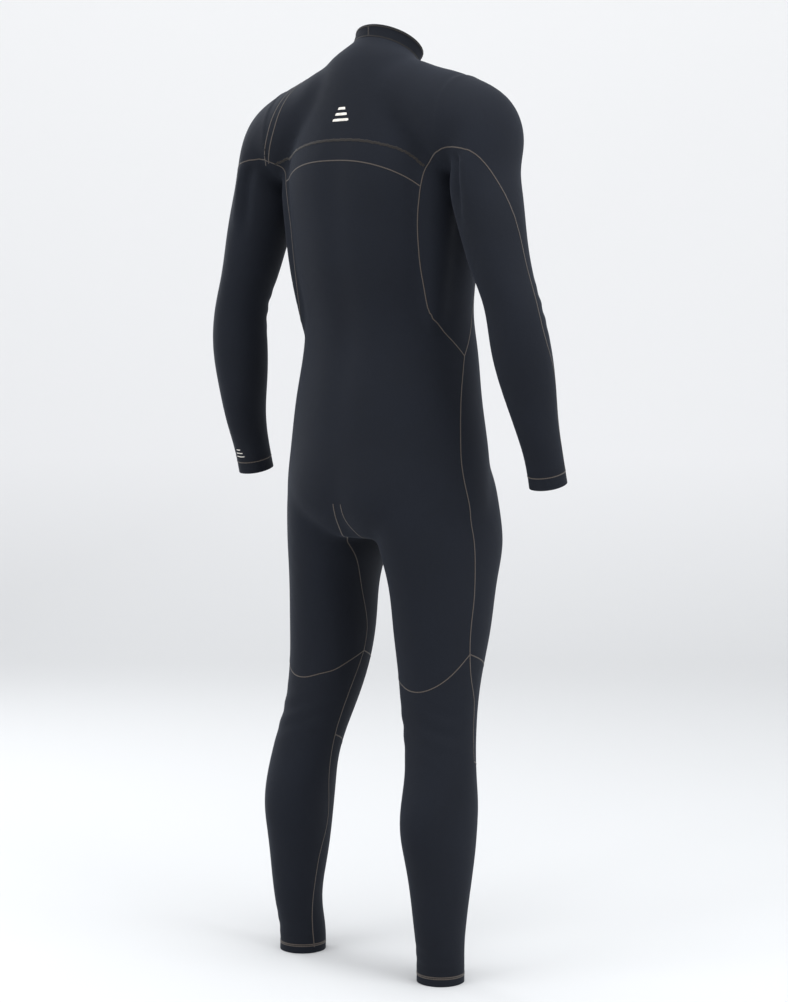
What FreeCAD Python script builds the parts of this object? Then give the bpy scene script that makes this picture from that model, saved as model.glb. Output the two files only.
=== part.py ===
"""Full-length neoprene wetsuit with a chest zip, as it stands when a body fills it.

+Z is up, the front faces -Y and the wearer's left is +X.  The origin is the centre of the neck opening.
Every panel is cut from tubes lofted through sections of the body, and moving bodies are kept apart
where the suit bends: at the shoulders, elbows, hips and knees.
"""

import FreeCAD, Part
import Sketcher
import os

# Driving dimensions in millimetres and degrees, and the two size grades of the whole suit.
SIZES = {
    "length_grade": 1.0,
    "girth_grade": 1.0,
    "wall": 3.0,
    "body_gap": 0.2,
    "collar_radius": 53.0,
    "collar_height": 30.0,
    "collar_lean": 27.0,
    "seal_wall": 2.0,
    "seal_height": 24.0,
    "armhole_x": 170.0,
    "armhole_y": 22.0,
    "armhole_drop": 134.0,
    "armhole_radius": 78.0,
    "fan_start": 5.0,
    "wrist_x": 299.0,
    "wrist_y": -6.4,
    "wrist_drop": 637.0,
    "wrist_radius": 28.5,
    "wrist_cuff": 30.0,
    "forearm_lean": 15.0,
    "ankle_x": 143.0,
    "ankle_y": 46.0,
    "ankle_drop": 1404.0,
    "ankle_radius": 37.0,
    "ankle_cuff": 30.0,
    "side_seam_y": 15.0,
    "arch_drop": 150.0,
    "arch_radius": 385.0,
    "lower_arch_drop": 182.0,
    "lower_arch_radius": 312.0,
    "underarm_y": 18.0,
    "underarm_drop": 250.0,
    "underarm_tall": 225.0,
    "underarm_wide": 66.0,
    "underarm_top": 185.0,
    "hip_top": 670.0,
    "hip_foot": 830.0,
    "gusset_drop": 735.0,
    "gusset_half": 32.0,
    "sleeve_seam_y": 38.0,
    "elbow_top": 355.0,
    "elbow_foot": 447.0,
    "elbow_y": 42.0,
    "knee_top": 970.0,
    "knee_foot": 1095.0,
    "knee_seam_y": 26.0,
    "calf_seam_y": 50.0,
    "zip_drop": 170.0,
    "zip_sweep": 76.0,
    "zip_tape": 11.0,
    "tooth_rise": 2.8,
    "tooth_wide": 3.0,
    "tooth_tall": 5.0,
    "tooth_step": 1.44,
    "teeth": 50.0,
    "stop_angle": 37.2,
    "slider_angle": 35.0,
    "slider_length": 12.0,
    "slider_gap": 0.5,
    "slider_wall": 1.8,
    "bail_rise": 5.0,
    "bail_radius": 1.2,
    "tab_play": 0.4,
    "tab_eye": 5.0,
    "tab_shoulder": 2.2,
    "tab_length": 34.0,
    "tab_width": 8.0,
    "tab_thickness": 2.4,
    "flap_gap": 5.0,
    "flap_wall": 1.5,
    "flap_half": 138.0,
    "flap_reach": 34.0,
}

# Stations of the torso from the crotch up: drop below the neck, y, half width, half depth and lean.
TORSO = {
    "fork": (757, 0, 130, 85, 0),
    "seat": (735, -4, 165, 114, 0),
    "hips": (690, -2, 179, 129, 0),
    "loin": (615, 0, 172, 124, 0),
    "belly": (540, 1, 162, 117, 0),
    "waist": (465, -3, 152, 109, 0),
    "ribs": (410, 1, 148, 106, 0),
    "midriff": (350, 7, 156, 112, 0),
    "chest": (280, 11, 163, 116, 0),
    "armpit": (215, 13, 165, 117, 0),
    "blade": (150, 15, 158, 110, 0),
    "back": (100, 19, 139, 95, 6),
    "yoke": (60, 22, 110, 79, 12),
    "nape": (32, 17, 81, 65, 20),
}

# Stations inside the shoulder, on upright planes: x, y, drop and radius.
SHOULDER = {
    "root": (60, 37, 84, 63),
    "cap": (115, 33, 110, 70),
}

# Planes fanned about the armpit: angle from upright, span from the armpit, half depth and y.
FAN = {
    "delta": (27, 137, 76, 19),
    "brawn": (50, 111, 73, 23),
    "scye": (75, 90, 68, 33),
}

# Stations of the arm: x, y, drop, half width, half depth and lean.
ARM = {
    "biceps": (222, 39, 230, 48, 62, 0),
    "middle": (238, 44, 290, 47.5, 54, 0),
    "above": (256, 45, 350, 44, 48, 0),
    "elbow": (275, 44, 400, 43, 43, 0),
    "below": (285, 37, 460, 44.5, 44.5, 5),
    "forearm": (291, 25, 520, 40, 41, 10),
    "narrow": (297, 11, 580, 30, 36, 14),
}

# Stations of the leg: x, y, drop, half width, half depth and toe-out.
LEG = {
    "socket": (84, -2, 640, 60, 80, 0),
    "groin": (94, -3, 700, 82, 116, 8),
    "thigh": (104, -3, 770, 76, 105, 13),
    "thigh_two": (110, 1, 820, 69, 93, 14),
    "thigh_three": (112, 5, 900, 67, 79, 14),
    "knee_over": (115, 14, 980, 63, 63, 10),
    "knee": (124, 26, 1040, 57, 58, 10),
    "knee_under": (133, 35, 1080, 55, 55, 10),
    "shin": (140, 43, 1120, 54, 57, 10),
    "calf": (143, 49, 1160, 52, 65, 8),
    "calf_two": (144, 52, 1200, 50, 66, 8),
    "calf_three": (145, 51, 1240, 47, 60, 8),
    "calf_four": (146, 51, 1280, 44, 52, 8),
    "calf_five": (146, 51, 1360, 35.5, 42, 8),
}

FIELDS = {
    "torso": ("drop", "y", "wide", "deep", "lean"),
    "shoulder": ("x", "y", "drop", "round"),
    "fan": ("angle", "span", "deep", "y"),
    "arm": ("x", "y", "drop", "wide", "deep", "lean"),
    "leg": ("x", "y", "drop", "wide", "deep", "toe"),
}
TABLES = {"torso": TORSO, "shoulder": SHOULDER, "fan": FAN, "arm": ARM, "leg": LEG}

FAR = 400.0
ROOT = "sizes."
LONG = ROOT + "length_grade"
GIRTH = ROOT + "girth_grade"

doc = FreeCAD.newDocument("wetsuit")
sheet = doc.addObject("Spreadsheet::Sheet", "sizes")
nodes = []


def fill_sheet():
    """One row per size: its word in column A and its number, with that word as alias, in column B."""
    rows = dict(SIZES)
    for table, stations in TABLES.items():
        for station, values in stations.items():
            for field, value in zip(FIELDS[table], values):
                rows[f"{table}_{station}_{field}"] = value
    for row, (alias, value) in enumerate(rows.items(), start=1):
        sheet.set(f"A{row}", alias)
        sheet.set(f"B{row}", str(value))
        sheet.setAlias(f"B{row}", alias)
    doc.recompute()


def add(kind, name, **links):
    """An object of the document with its linked properties set."""
    made = doc.addObject(kind, name)
    for prop, value in links.items():
        setattr(made, prop, value)
    return made


def bind(made, **formulas):
    """Tie properties of an object to the sheet; a double underscore stands for a dot."""
    for prop, formula in formulas.items():
        made.setExpression(prop.replace("__", "."), formula)
    return made


def node(made, name):
    """Mark an object as a piece of the suit."""
    made.Label = name
    nodes.append(made)
    return made


def place(x, y, z, turns="rotation(0; 0; 0)"):
    """A placement formula from three coordinates and a product of turns."""
    return f"placement(vector({x}; {y}; {z}); {turns})"


def down(drop):
    """Height of a level that lies a graded distance under the neck."""
    return f"-({drop}) * {LONG}"


def axis_turn(axis, angle):
    """A rotation formula about one of the three axes."""
    vectors = {"x": "1; 0; 0", "y": "0; 1; 0", "z": "0; 0; 1"}
    return f"rotation(vector({vectors[axis]}); {angle})"


def ellipse(name, major, minor, placement):
    """A closed section whose long half-axis lies along its own x."""
    made = add("Part::Ellipse", name)
    return bind(made, MajorRadius=major, MinorRadius=minor, Placement=placement)


def loft(name, sections):
    return add("Part::Loft", name, Sections=sections, Solid=True, Ruled=False, Closed=False)


def limb_turn(fan="90", lean="0", toe="0"):
    """Sections of a limb keep their own x along +Y and turn by fan, lean and toe-out."""
    parts = [axis_turn("z", toe), axis_turn("x", f"-({lean})"), axis_turn("y", fan)]
    return " * ".join(parts + ["rotation(90; 0; 90)"])


def torso_loft(name, inset):
    """Torso from the crotch to the foot of the collar, drawn in by an inset in millimetres."""
    sections = []
    for station in TORSO:
        cell = f"{ROOT}torso_{station}_"
        level = down(cell + "drop")
        spot = place("0", cell + "y", level, axis_turn("x", cell + "lean"))
        wide = f"{cell}wide * {GIRTH} - ({inset})"
        deep = f"{cell}deep * {GIRTH} - ({inset})"
        sections.append(ellipse(f"{name}_{station}", wide, deep, spot))
    bind(sections[0], Placement=place("0", f"{ROOT}torso_fork_y", f"{down(ROOT + 'torso_fork_drop')} + ({inset})"))
    half = f"{ROOT}collar_height / 2"
    spot = place("0", f"{half} * sin({ROOT}collar_lean * 1deg)", f"-{half} * cos({ROOT}collar_lean * 1deg)",
                 axis_turn("x", ROOT + "collar_lean"))
    radius = f"{ROOT}collar_radius - ({inset})"
    sections.append(ellipse(f"{name}_neck", radius, radius, spot))
    return loft(name, sections)


def arm_loft(name, inset):
    """Left arm from inside the shoulder to the foot of the forearm, round where it meets the torso."""
    sections = []
    for station in SHOULDER:
        cell = f"{ROOT}shoulder_{station}_"
        radius = f"{cell}round * {GIRTH} - ({inset})"
        spot = place(f"{cell}x * {GIRTH}", cell + "y", down(cell + "drop"), limb_turn("0"))
        sections.append(ellipse(f"{name}_{station}", radius, radius, spot))
    hole = ROOT + "armhole_"
    radius = f"{hole}radius * {GIRTH}"
    spot = place(f"{hole}x * {GIRTH}", hole + "y", down(hole + "drop"), limb_turn("0"))
    inner = f"{radius} - ({inset})"
    sections.append(ellipse(f"{name}_hole", inner, inner, spot))
    for station in FAN:
        cell = f"{ROOT}fan_{station}_"
        reach = f"{cell}span * {GIRTH} / 2"
        centre = f"({ROOT}fan_start + {reach})"
        x = f"{hole}x * {GIRTH} + {centre} * sin({cell}angle * 1deg)"
        z = f"{down(hole + 'drop')} - {radius} + {centre} * cos({cell}angle * 1deg)"
        spot = place(x, cell + "y", z, limb_turn(cell + "angle"))
        deep = f"{cell}deep * {GIRTH} - ({inset})"
        sections.append(ellipse(f"{name}_{station}", deep, f"{reach} - ({inset})", spot))
    for station in ARM:
        cell = f"{ROOT}arm_{station}_"
        spot = place(f"{cell}x * {GIRTH}", cell + "y", down(cell + "drop"), limb_turn(lean=cell + "lean"))
        deep = f"{cell}deep * {GIRTH} - ({inset})"
        wide = f"{cell}wide * {GIRTH} - ({inset})"
        sections.append(ellipse(f"{name}_{station}", deep, wide, spot))
    wrist = ROOT + "wrist_"
    spot = place(f"{wrist}x * {GIRTH}", wrist + "y", down(wrist + "drop"), limb_turn(lean=ROOT + "forearm_lean"))
    radius = f"{wrist}radius * {GIRTH} - ({inset})"
    sections.append(ellipse(f"{name}_wrist", radius, radius, spot))
    inside = len(SHOULDER)
    straight = inside + len(FAN) + 1
    pieces = [loft(name + "_shoulder", sections[:inside + 1])]
    for turn in range(inside, straight):
        pieces.append(loft(f"{name}_bend_{turn}", sections[turn:turn + 2]))
    pieces.append(loft(name + "_sleeve", sections[straight:]))
    return fuse(name, *pieces)


def leg_loft(name, inset):
    """Left leg from inside the hip to the head of the ankle cuff."""
    sections = []
    for station in LEG:
        cell = f"{ROOT}leg_{station}_"
        spot = place(f"{cell}x * {GIRTH}", cell + "y", down(cell + "drop"), limb_turn(toe=cell + "toe"))
        deep = f"{cell}deep * {GIRTH} - ({inset})"
        wide = f"{cell}wide * {GIRTH} - ({inset})"
        sections.append(ellipse(f"{name}_{station}", deep, wide, spot))
    ankle = ROOT + "ankle_"
    spot = place(f"{ankle}x * {GIRTH}", ankle + "y", down(ankle + "drop"), limb_turn())
    radius = f"{ankle}radius * {GIRTH} - ({inset})"
    sections.append(ellipse(f"{name}_ankle", radius, radius, spot))
    return loft(name, sections)


def mirror(source, name):
    """The same piece on the wearer's right."""
    normal = FreeCAD.Vector(1, 0, 0)
    return add("Part::Mirroring", name, Source=source, Base=FreeCAD.Vector(0, 0, 0), Normal=normal)


def cut(name, base, tool):
    return add("Part::Cut", name, Base=base, Tool=tool, Refine=False)


def common(name, base, tool):
    return add("Part::Common", name, Base=base, Tool=tool, Refine=False)


def fuse(name, *shapes):
    return add("Part::MultiFuse", name, Shapes=list(shapes), Refine=False)


def block(name, x=(-FAR, FAR), y=(-FAR, FAR), z=(0, 0)):
    """A box between pairs of formulas."""
    made = add("Part::Box", name)
    low_high = [(f"({pair[0]})", f"({pair[1]})") for pair in (x, y, z)]
    lengths = [f"{high} - {low}" for low, high in low_high]
    bind(made, Length=lengths[0], Width=lengths[1], Height=lengths[2])
    return bind(made, Placement=place(*[low for low, high in low_high]))


def disc(name, drop, radius):
    """A cylinder across the back whose top edge is an arch seam."""
    made = add("Part::Cylinder", name)
    bind(made, Radius=radius, Height=f"{2 * FAR}")
    spot = place("0", f"{FAR}", f"{down(drop)} - {radius}", "rotation(0; 0; 90)")
    return bind(made, Placement=spot)


def tube(name, outer, wall, height, placement):
    """A straight round tube whose lower end is at its placement."""
    case = bind(add("Part::Cylinder", name + "_case"), Radius=outer, Height=height, Placement=placement)
    bore = bind(add("Part::Cylinder", name + "_bore"), Radius=f"{outer} - {wall}", Height=height,
                Placement=placement)
    return cut(name, case, bore)


def skin_lofts():
    """Outer and inner tubes of torso, arm and leg."""
    wall = ROOT + "wall"
    tubes = {}
    for name, make in (("torso", torso_loft), ("arm", arm_loft), ("leg", leg_loft)):
        tubes[name] = (make(name + "_outer", "0"), make(name + "_inner", wall))
    return tubes


def both_sides(name, tubes, which):
    """Torso joined with both shoulders and both hips."""
    limbs = []
    for limb in ("arm", "leg"):
        left = tubes[limb][which]
        limbs += [left, mirror(left, f"{name}_{limb}_right")]
    return fuse(name, tubes["torso"][which], *limbs)


def panel(name, solid, core, label):
    """A panel: its share of the filled suit with the body's space taken out."""
    return node(cut(name, solid, core), label)


def torso_panels(tubes):
    """Back, front, yokes and underarm panels between the armholes."""
    filled = both_sides("suit_outer", tubes, 0)
    core = both_sides("suit_inner", tubes, 1)
    edge = f"{ROOT}armhole_x * {GIRTH} - {ROOT}body_gap"
    width = (f"-({edge})", edge)
    top = "60"
    hip = down(ROOT + "hip_top")
    seam = ROOT + "side_seam_y"
    back = common("filled_back", filled, block("back_room", x=width, y=(seam, FAR), z=(hip, top)))
    front = common("filled_front", filled, block("front_room", x=width, y=(-FAR, seam), z=(hip, top)))

    lens = add("Part::Ellipse", "underarm_lens")
    spot = place(f"-{FAR}", ROOT + "underarm_y", down(ROOT + "underarm_drop"), "rotation(90; 0; 90)")
    turned = f"{spot} * placement(vector(0; 0; 0); rotation(90; 0; 0))"
    bind(lens, MajorRadius=f"{ROOT}underarm_tall * {LONG}", MinorRadius=f"{ROOT}underarm_wide * {GIRTH}",
         Placement=turned)
    bar = add("Part::Extrusion", "underarm_bar", Base=lens, DirMode="Custom", Dir=FreeCAD.Vector(1, 0, 0),
              Solid=True)
    bind(bar, LengthFwd=f"{2 * FAR}")
    under_top = down(ROOT + "underarm_top")
    for side, span in (("right", (width[0], "0")), ("left", ("0", width[1]))):
        room = common("underarm_room_" + side, bar, block("underarm_box_" + side, x=span, z=(hip, under_top)))
        panel("underarm_" + side, common("underarm_filled_" + side, filled, room), core,
              side + "_underarm_panel")
    lens_bar = common("underarm_tool", bar, block("underarm_room", z=(hip, under_top)))

    arch = disc("arch", ROOT + "arch_drop", ROOT + "arch_radius")
    low_arch = disc("low_arch", ROOT + "lower_arch_drop", ROOT + "lower_arch_radius")
    above = cut("above_arch", back, arch)
    panel("yoke", cut("yoke_filled", above, lens_bar), core, "shoulder_yoke")
    under = cut("under_arch", common("under_arch_whole", back, arch), lens_bar)
    panel("band", cut("band_filled", under, low_arch), core, "back_band")
    panel("back_main", common("back_filled", under, low_arch), core, "back_panel")

    slot = zip_room()
    zip_level = down(ROOT + "zip_drop")
    chest = common("chest_whole", front, block("chest_room", z=(zip_level, top)))
    panel("chest", cut("chest_filled", chest, slot), core, "chest_yoke")
    belly = common("belly_whole", front, block("belly_room", z=(hip, zip_level)))
    panel("belly", cut("belly_filled", cut("belly_slotted", belly, slot), lens_bar), core, "front_panel")
    return filled, core


def hip_panels(filled, core):
    """The stretching panels round each hip, with the gusset between the legs."""
    hip = down(ROOT + "hip_top")
    foot = down(ROOT + "hip_foot")
    half = f"{ROOT}gusset_half * {GIRTH}"
    between = block("gusset_room", x=(f"-{half}", half), z=(foot, down(ROOT + "gusset_drop")))
    panel("gusset", common("gusset_filled", filled, between), core, "crotch_gusset")
    for side, span in (("left", (0, FAR)), ("right", (-FAR, 0))):
        ring = common("hip_whole_" + side, filled, block("hip_room_" + side, x=span, z=(foot, hip)))
        panel("hip_" + side, cut("hip_filled_" + side, ring, between), core, side + "_hip_panel")


def leg_panels(tubes):
    """Thigh, knee, calf and cuff of the left leg."""
    shell = cut("leg_shell", *tubes["leg"])
    foot = down(ROOT + "ankle_drop")
    levels = [down(ROOT + name) for name in ("hip_foot", "knee_top", "knee_foot")] + [foot]
    names = (("thigh_back", "thigh_front"), ("knee_back_panel", "knee_pad"), ("calf_back", "shin_front"))
    seams = (ROOT + "side_seam_y", ROOT + "knee_seam_y", ROOT + "calf_seam_y")
    pieces = []
    for (rear, fore), seam, high, low in zip(names, seams, levels[:-1], levels[1:]):
        for name, span in ((rear, (seam, FAR)), (fore, (-FAR, seam))):
            room = block(name + "_room", x=(0, FAR), y=span, z=(low, high))
            pieces.append((name, common("left_" + name + "_cut", shell, room)))
    ankle = ROOT + "ankle_"
    spot = place(f"{ankle}x * {GIRTH}", ankle + "y", f"{foot} - {ankle}cuff")
    cuff = tube("ankle_cuff", f"{ankle}radius * {GIRTH}", ROOT + "wall", ankle + "cuff", spot)
    pieces.append(("ankle_cuff", cuff))
    return pieces


def arm_panels(tubes):
    """Sleeve, elbow, forearm and cuff of the left arm."""
    shell = cut("arm_shell", *tubes["arm"])
    edge = f"{ROOT}armhole_x * {GIRTH} + {ROOT}body_gap"
    elbow_top = down(ROOT + "elbow_top")
    elbow_foot = down(ROOT + "elbow_foot")
    far_down = down(ROOT + "wrist_drop + " + ROOT + "wrist_cuff")
    pieces = []
    seam = ROOT + "sleeve_seam_y"
    for name, span in (("sleeve_back", (seam, FAR)), ("sleeve_front", (-FAR, seam))):
        room = block(name + "_room", x=(edge, 2 * FAR), y=span, z=(elbow_top, 60))
        pieces.append((name, common("left_" + name + "_cut", shell, room)))
    room = block("elbow_room", x=(edge, 2 * FAR), z=(elbow_foot, elbow_top))
    pieces.append(("elbow_panel", common("elbow_cut", shell, room)))
    lower = common("forearm_cut", shell, block("forearm_room", x=(edge, 2 * FAR), z=(far_down, elbow_foot)))
    half = add("Part::Box", "forearm_half")
    bind(half, Length=f"{2 * FAR}", Width=f"{FAR}", Height=f"{2 * FAR}")
    hinge = place("0", ROOT + "elbow_y", elbow_foot, axis_turn("x", f"-{ROOT}forearm_lean"))
    bind(half, Placement=f"{hinge} * placement(vector(0; 0; -{FAR}); rotation(0; 0; 0))")
    pieces.append(("forearm_back", common("forearm_rear", lower, half)))
    pieces.append(("forearm_front", cut("forearm_fore", lower, half)))
    wrist = ROOT + "wrist_"
    turn = axis_turn("x", f"-{ROOT}forearm_lean")
    spot = place(f"{wrist}x * {GIRTH}", wrist + "y", down(wrist + "drop"), turn)
    spot = f"{spot} * placement(vector(0; 0; -{wrist}cuff); rotation(0; 0; 0))"
    cuff = tube("wrist_cuff", f"{wrist}radius * {GIRTH}", ROOT + "wall", wrist + "cuff", spot)
    pieces.append(("wrist_cuff", cuff))
    return pieces


def pair(pieces):
    """Left pieces and their mirror images, each a node of its own."""
    for name, piece in pieces:
        node(piece, "left_" + name)
        node(mirror(piece, name + "_right"), "right_" + name)


def collar():
    """Collar in two halves that meet at the sides, with the smooth seal inside it."""
    turn = axis_turn("x", ROOT + "collar_lean")
    lift = f"placement(vector(0; 0; -{ROOT}collar_height / 2); rotation(0; 0; 0))"
    spot = f"{place('0', '0', '0', turn)} * {lift}"
    ring = tube("collar_ring", ROOT + "collar_radius", ROOT + "wall", ROOT + "collar_height", spot)
    half = add("Part::Box", "collar_half")
    bind(half, Length=f"{2 * FAR}", Width=f"{FAR}", Height=f"{FAR}")
    shift = f"placement(vector(-{FAR}; 0; -{FAR} / 2); rotation(0; 0; 0))"
    bind(half, Placement=f"{place('0', '0', '0', turn)} * {shift}")
    node(common("collar_rear", ring, half), "collar_back")
    node(cut("collar_fore", ring, half), "collar_front")
    drop = f"placement(vector(0; 0; -{ROOT}seal_height / 2); rotation(0; 0; 0))"
    inner = f"{ROOT}collar_radius - {ROOT}wall"
    seal_spot = f"{place('0', '0', '0', turn)} * {drop}"
    node(tube("seal_ring", inner, ROOT + "seal_wall", ROOT + "seal_height", seal_spot), "neck_seal")


BETWEEN = f"({ROOT}zip_drop - {ROOT}torso_blade_drop) / ({ROOT}torso_armpit_drop - {ROOT}torso_blade_drop)"
BLADE = f"({ROOT}torso_blade_y - {ROOT}torso_blade_deep * {GIRTH})"
ARMPIT = f"({ROOT}torso_armpit_y - {ROOT}torso_armpit_deep * {GIRTH})"
ZIP_FACE = f"({BLADE} + ({ARMPIT} - {BLADE}) * {BETWEEN})"
ZIP_RADIUS = f"({ROOT}torso_armpit_wide ^ 2 / {ROOT}torso_armpit_deep * {GIRTH} * 0.866)"
ZIP_CENTRE = f"({ZIP_FACE} + {ZIP_RADIUS})"


def sector(name, inner, outer, low, high, sweep):
    """Part of a ring about the zip's upright axis, symmetric about the front."""
    level = down(ROOT + "zip_drop")
    spot = place("0", ZIP_CENTRE, f"{level} + ({low})", f"rotation(-90 - ({sweep}) / 2; 0; 0)")
    height = f"({high}) - ({low})"
    case = bind(add("Part::Cylinder", name + "_case"), Radius=outer, Angle=sweep, Height=height, Placement=spot)
    bore = bind(add("Part::Cylinder", name + "_bore"), Radius=inner, Angle=sweep, Height=height, Placement=spot)
    return cut(name, case, bore)


def zip_room():
    """The gap in the chest that the zip fills."""
    tape = ROOT + "zip_tape"
    deep = f"{ZIP_RADIUS} - 25"
    return sector("zip_slot", deep, f"{ZIP_RADIUS} + 25", f"-{tape}", tape, ROOT + "zip_sweep")


def zip_parts():
    """Tapes, teeth and stops on the suit, and the flap that backs them."""
    tape = ROOT + "zip_tape"
    sweep = ROOT + "zip_sweep"
    inner = f"{ZIP_RADIUS} - {ROOT}wall"
    node(sector("tape_high", inner, ZIP_RADIUS, "0", tape, sweep), "zip_tape_upper")
    node(sector("tape_low", inner, ZIP_RADIUS, f"-{tape}", "0", sweep), "zip_tape_lower")
    level = down(ROOT + "zip_drop")
    for name, side in (("upper", 1), ("lower", -1)):
        chain = []
        for number in range(int(SIZES["teeth"])):
            low, high = sorted((side * SIZES["tooth_tall"] * 0.86, -side * SIZES["tooth_tall"] * 0.14))
            turn = (number - (SIZES["teeth"] - 1) / 2 + side * 0.25) * SIZES["tooth_step"]
            tooth = add("Part::Box", f"tooth_{name}_{number}")
            bind(tooth, Length=ROOT + "tooth_rise", Width=f"{ROOT}tooth_wide / 2 * 0.92", Height=str(high - low))
            swing = place("0", ZIP_CENTRE, level, f"rotation({turn} - 90; 0; 0)")
            bind(tooth, Placement=f"{swing} * {place(ZIP_RADIUS, '-' + ROOT + 'tooth_wide / 4', str(low))}")
            chain.append(tooth)
        node(add("Part::Compound", "teeth_" + name, Links=chain), "zip_teeth_" + name)
    for name, side in (("left", 1), ("right", -1)):
        stop = add("Part::Box", "stop_" + name)
        bind(stop, Length=ROOT + "tooth_rise", Width=ROOT + "tooth_wide", Height=ROOT + "tooth_tall * 1.6")
        swing = place("0", ZIP_CENTRE, level, f"rotation({side} * {ROOT}stop_angle - 90; 0; 0)")
        shift = place(ZIP_RADIUS, f"-{ROOT}tooth_wide / 2", f"-{ROOT}tooth_tall * 0.8")
        node(bind(stop, Placement=f"{swing} * {shift}"), "zip_stop_" + name)
    outer = torso_loft("flap_outer", ROOT + "wall + " + ROOT + "flap_gap")
    core = torso_loft("flap_inner", f"{ROOT}wall + {ROOT}flap_gap + {ROOT}flap_wall")
    layer = cut("flap_layer", outer, core)
    reach = ROOT + "flap_reach"
    half = f"{ROOT}flap_half * {GIRTH}"
    room = block("flap_room", x=(f"-{half}", half), y=(-FAR, 0), z=(f"{level} - {reach}", f"{level} + {reach}"))
    node(common("flap", layer, room), "zip_backing_flap")


def slider_frame():
    """Placement formula at the zip's surface: x outwards, y along the teeth and z up."""
    swing = place("0", ZIP_CENTRE, down(ROOT + "zip_drop"), f"rotation({ROOT}slider_angle - 90; 0; 0)")
    return f"{swing} * {place(ZIP_RADIUS, '0', '0')}"


def slider_parts():
    """Slider that caps the teeth, with a bail in front of it."""
    top = f"({ROOT}tooth_rise + {ROOT}slider_gap)"
    half = f"({ROOT}tooth_tall * 0.86 + {ROOT}slider_gap)"
    wall = ROOT + "slider_wall"
    length = ROOT + "slider_length"
    frame = slider_frame()
    cap = add("Part::Box", "slider_cap")
    bind(cap, Length=f"{top} + {wall} - {ROOT}slider_gap", Width=length, Height=f"({half} + {wall}) * 2")
    bind(cap, Placement=f"{frame} * {place(ROOT + 'slider_gap', '-' + length + ' / 2', f'-({half} + {wall})')}")
    channel = add("Part::Box", "slider_channel")
    bind(channel, Length=top, Width=length, Height=f"{half} * 2")
    bind(channel, Placement=f"{frame} * {place('0', '-' + length + ' / 2', '-' + half)}")
    shell = cut("slider_shell", cap, channel)
    face = f"({top} + {wall})"
    radius = ROOT + "bail_radius"
    posts = []
    for name, side in (("left", 1), ("right", -1)):
        post = add("Part::Box", "bail_post_" + name)
        bind(post, Length=f"{ROOT}bail_rise + {radius} + 0.2", Width=f"2 * {radius}", Height=f"2 * {radius}")
        middle = f"{side} * ({ROOT}tab_eye / 2 + {ROOT}tab_play + {radius}) - {radius}"
        bind(post, Placement=f"{frame} * {place(face + ' - 0.2', middle, '-' + radius)}")
        posts.append(post)
    bar = bind(add("Part::Cylinder", "bail_bar"), Radius=radius, Height=f"{ROOT}tab_eye + 2 * {ROOT}tab_play + 0.4")
    turned = place(f"{face} + {ROOT}bail_rise", f"{ROOT}tab_eye / 2 + {ROOT}tab_play + 0.2", "0",
                   "rotation(0; 0; 90)")
    bind(bar, Placement=f"{frame} * {turned}")
    node(fuse("slider", shell, bar, *posts), "zip_slider")
    return f"{frame} * {place(f'{face} + {ROOT}bail_rise', '0', '0')}"


def pull_tab(frame):
    """Tab that hangs from the bail: a flat plate, an eye round the bar and a hole for a cord."""
    body = doc.addObject("PartDesign::Body", "pull_tab")
    doc.recompute()
    plane = [item for item in body.Origin.OriginFeatures if item.Role == "YZ_Plane"][0]
    plate = body.newObject("Sketcher::SketchObject", "tab_outline")
    plate.AttachmentSupport = [(plane, "")]
    plate.MapMode = "FlatFace"
    corners = [FreeCAD.Vector(x, z, 0) for x, z in ((-4, -34), (4, -34), (4, -1), (-4, -1))]
    for start, end in zip(corners, corners[1:] + corners[:1]):
        plate.addGeometry(Part.LineSegment(start, end), False)
    for line in range(4):
        plate.addConstraint(Sketcher.Constraint("Coincident", line, 2, (line + 1) % 4, 1))
    for kind, line in (("Vertical", 1), ("Horizontal", 2), ("Vertical", 3)):
        plate.addConstraint(Sketcher.Constraint(kind, line))
    plate.addConstraint(Sketcher.Constraint("Symmetric", 0, 1, 0, 2, -2))
    sizes = (("DistanceX", (0, 1, 0, 2), 8.0, ROOT + "tab_width"),
             ("DistanceY", (1, 1, 1, 2), 31.8, f"{ROOT}tab_length - {ROOT}tab_shoulder"),
             ("DistanceY", (0, 1, -1, 1), 34.0, ROOT + "tab_length"))
    for kind, ends, value, formula in sizes:
        index = plate.addConstraint(Sketcher.Constraint(kind, *ends, value))
        plate.setExpression(f"Constraints[{index}]", formula)
    pad = body.newObject("PartDesign::Pad", "tab_plate")
    pad.Profile = plate
    pad.SideType = "Symmetric"
    pad.setExpression("Length", ROOT + "tab_thickness")
    doc.recompute()
    eye = body.newObject("PartDesign::AdditiveCylinder", "tab_eye")
    bind(eye, Radius=f"{ROOT}bail_radius + {ROOT}tab_play + 1.1", Height=ROOT + "tab_eye")
    bore = body.newObject("PartDesign::SubtractiveCylinder", "tab_bore")
    bind(bore, Radius=f"{ROOT}bail_radius + {ROOT}tab_play", Height=f"{ROOT}tab_width + 4")
    slot = body.newObject("PartDesign::SubtractiveCylinder", "tab_hole")
    bind(slot, Radius=f"{ROOT}tab_width / 4", Height=f"{ROOT}tab_thickness * 3")
    for feature, height in ((eye, ROOT + "tab_eye"), (bore, f"({ROOT}tab_width + 4)")):
        spot = place("0", f"{height} / 2", "0", "rotation(0; 0; 90)")
        bind(feature, Placement=spot)
    hole_spot = place(f"-{ROOT}tab_thickness * 1.5", "0", f"-{ROOT}tab_length * 0.84", "rotation(0; 90; 0)")
    bind(slot, Placement=hole_spot)
    body.Tip = slot
    bind(body, Placement=frame)
    node(body, "zip_pull_tab")


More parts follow.
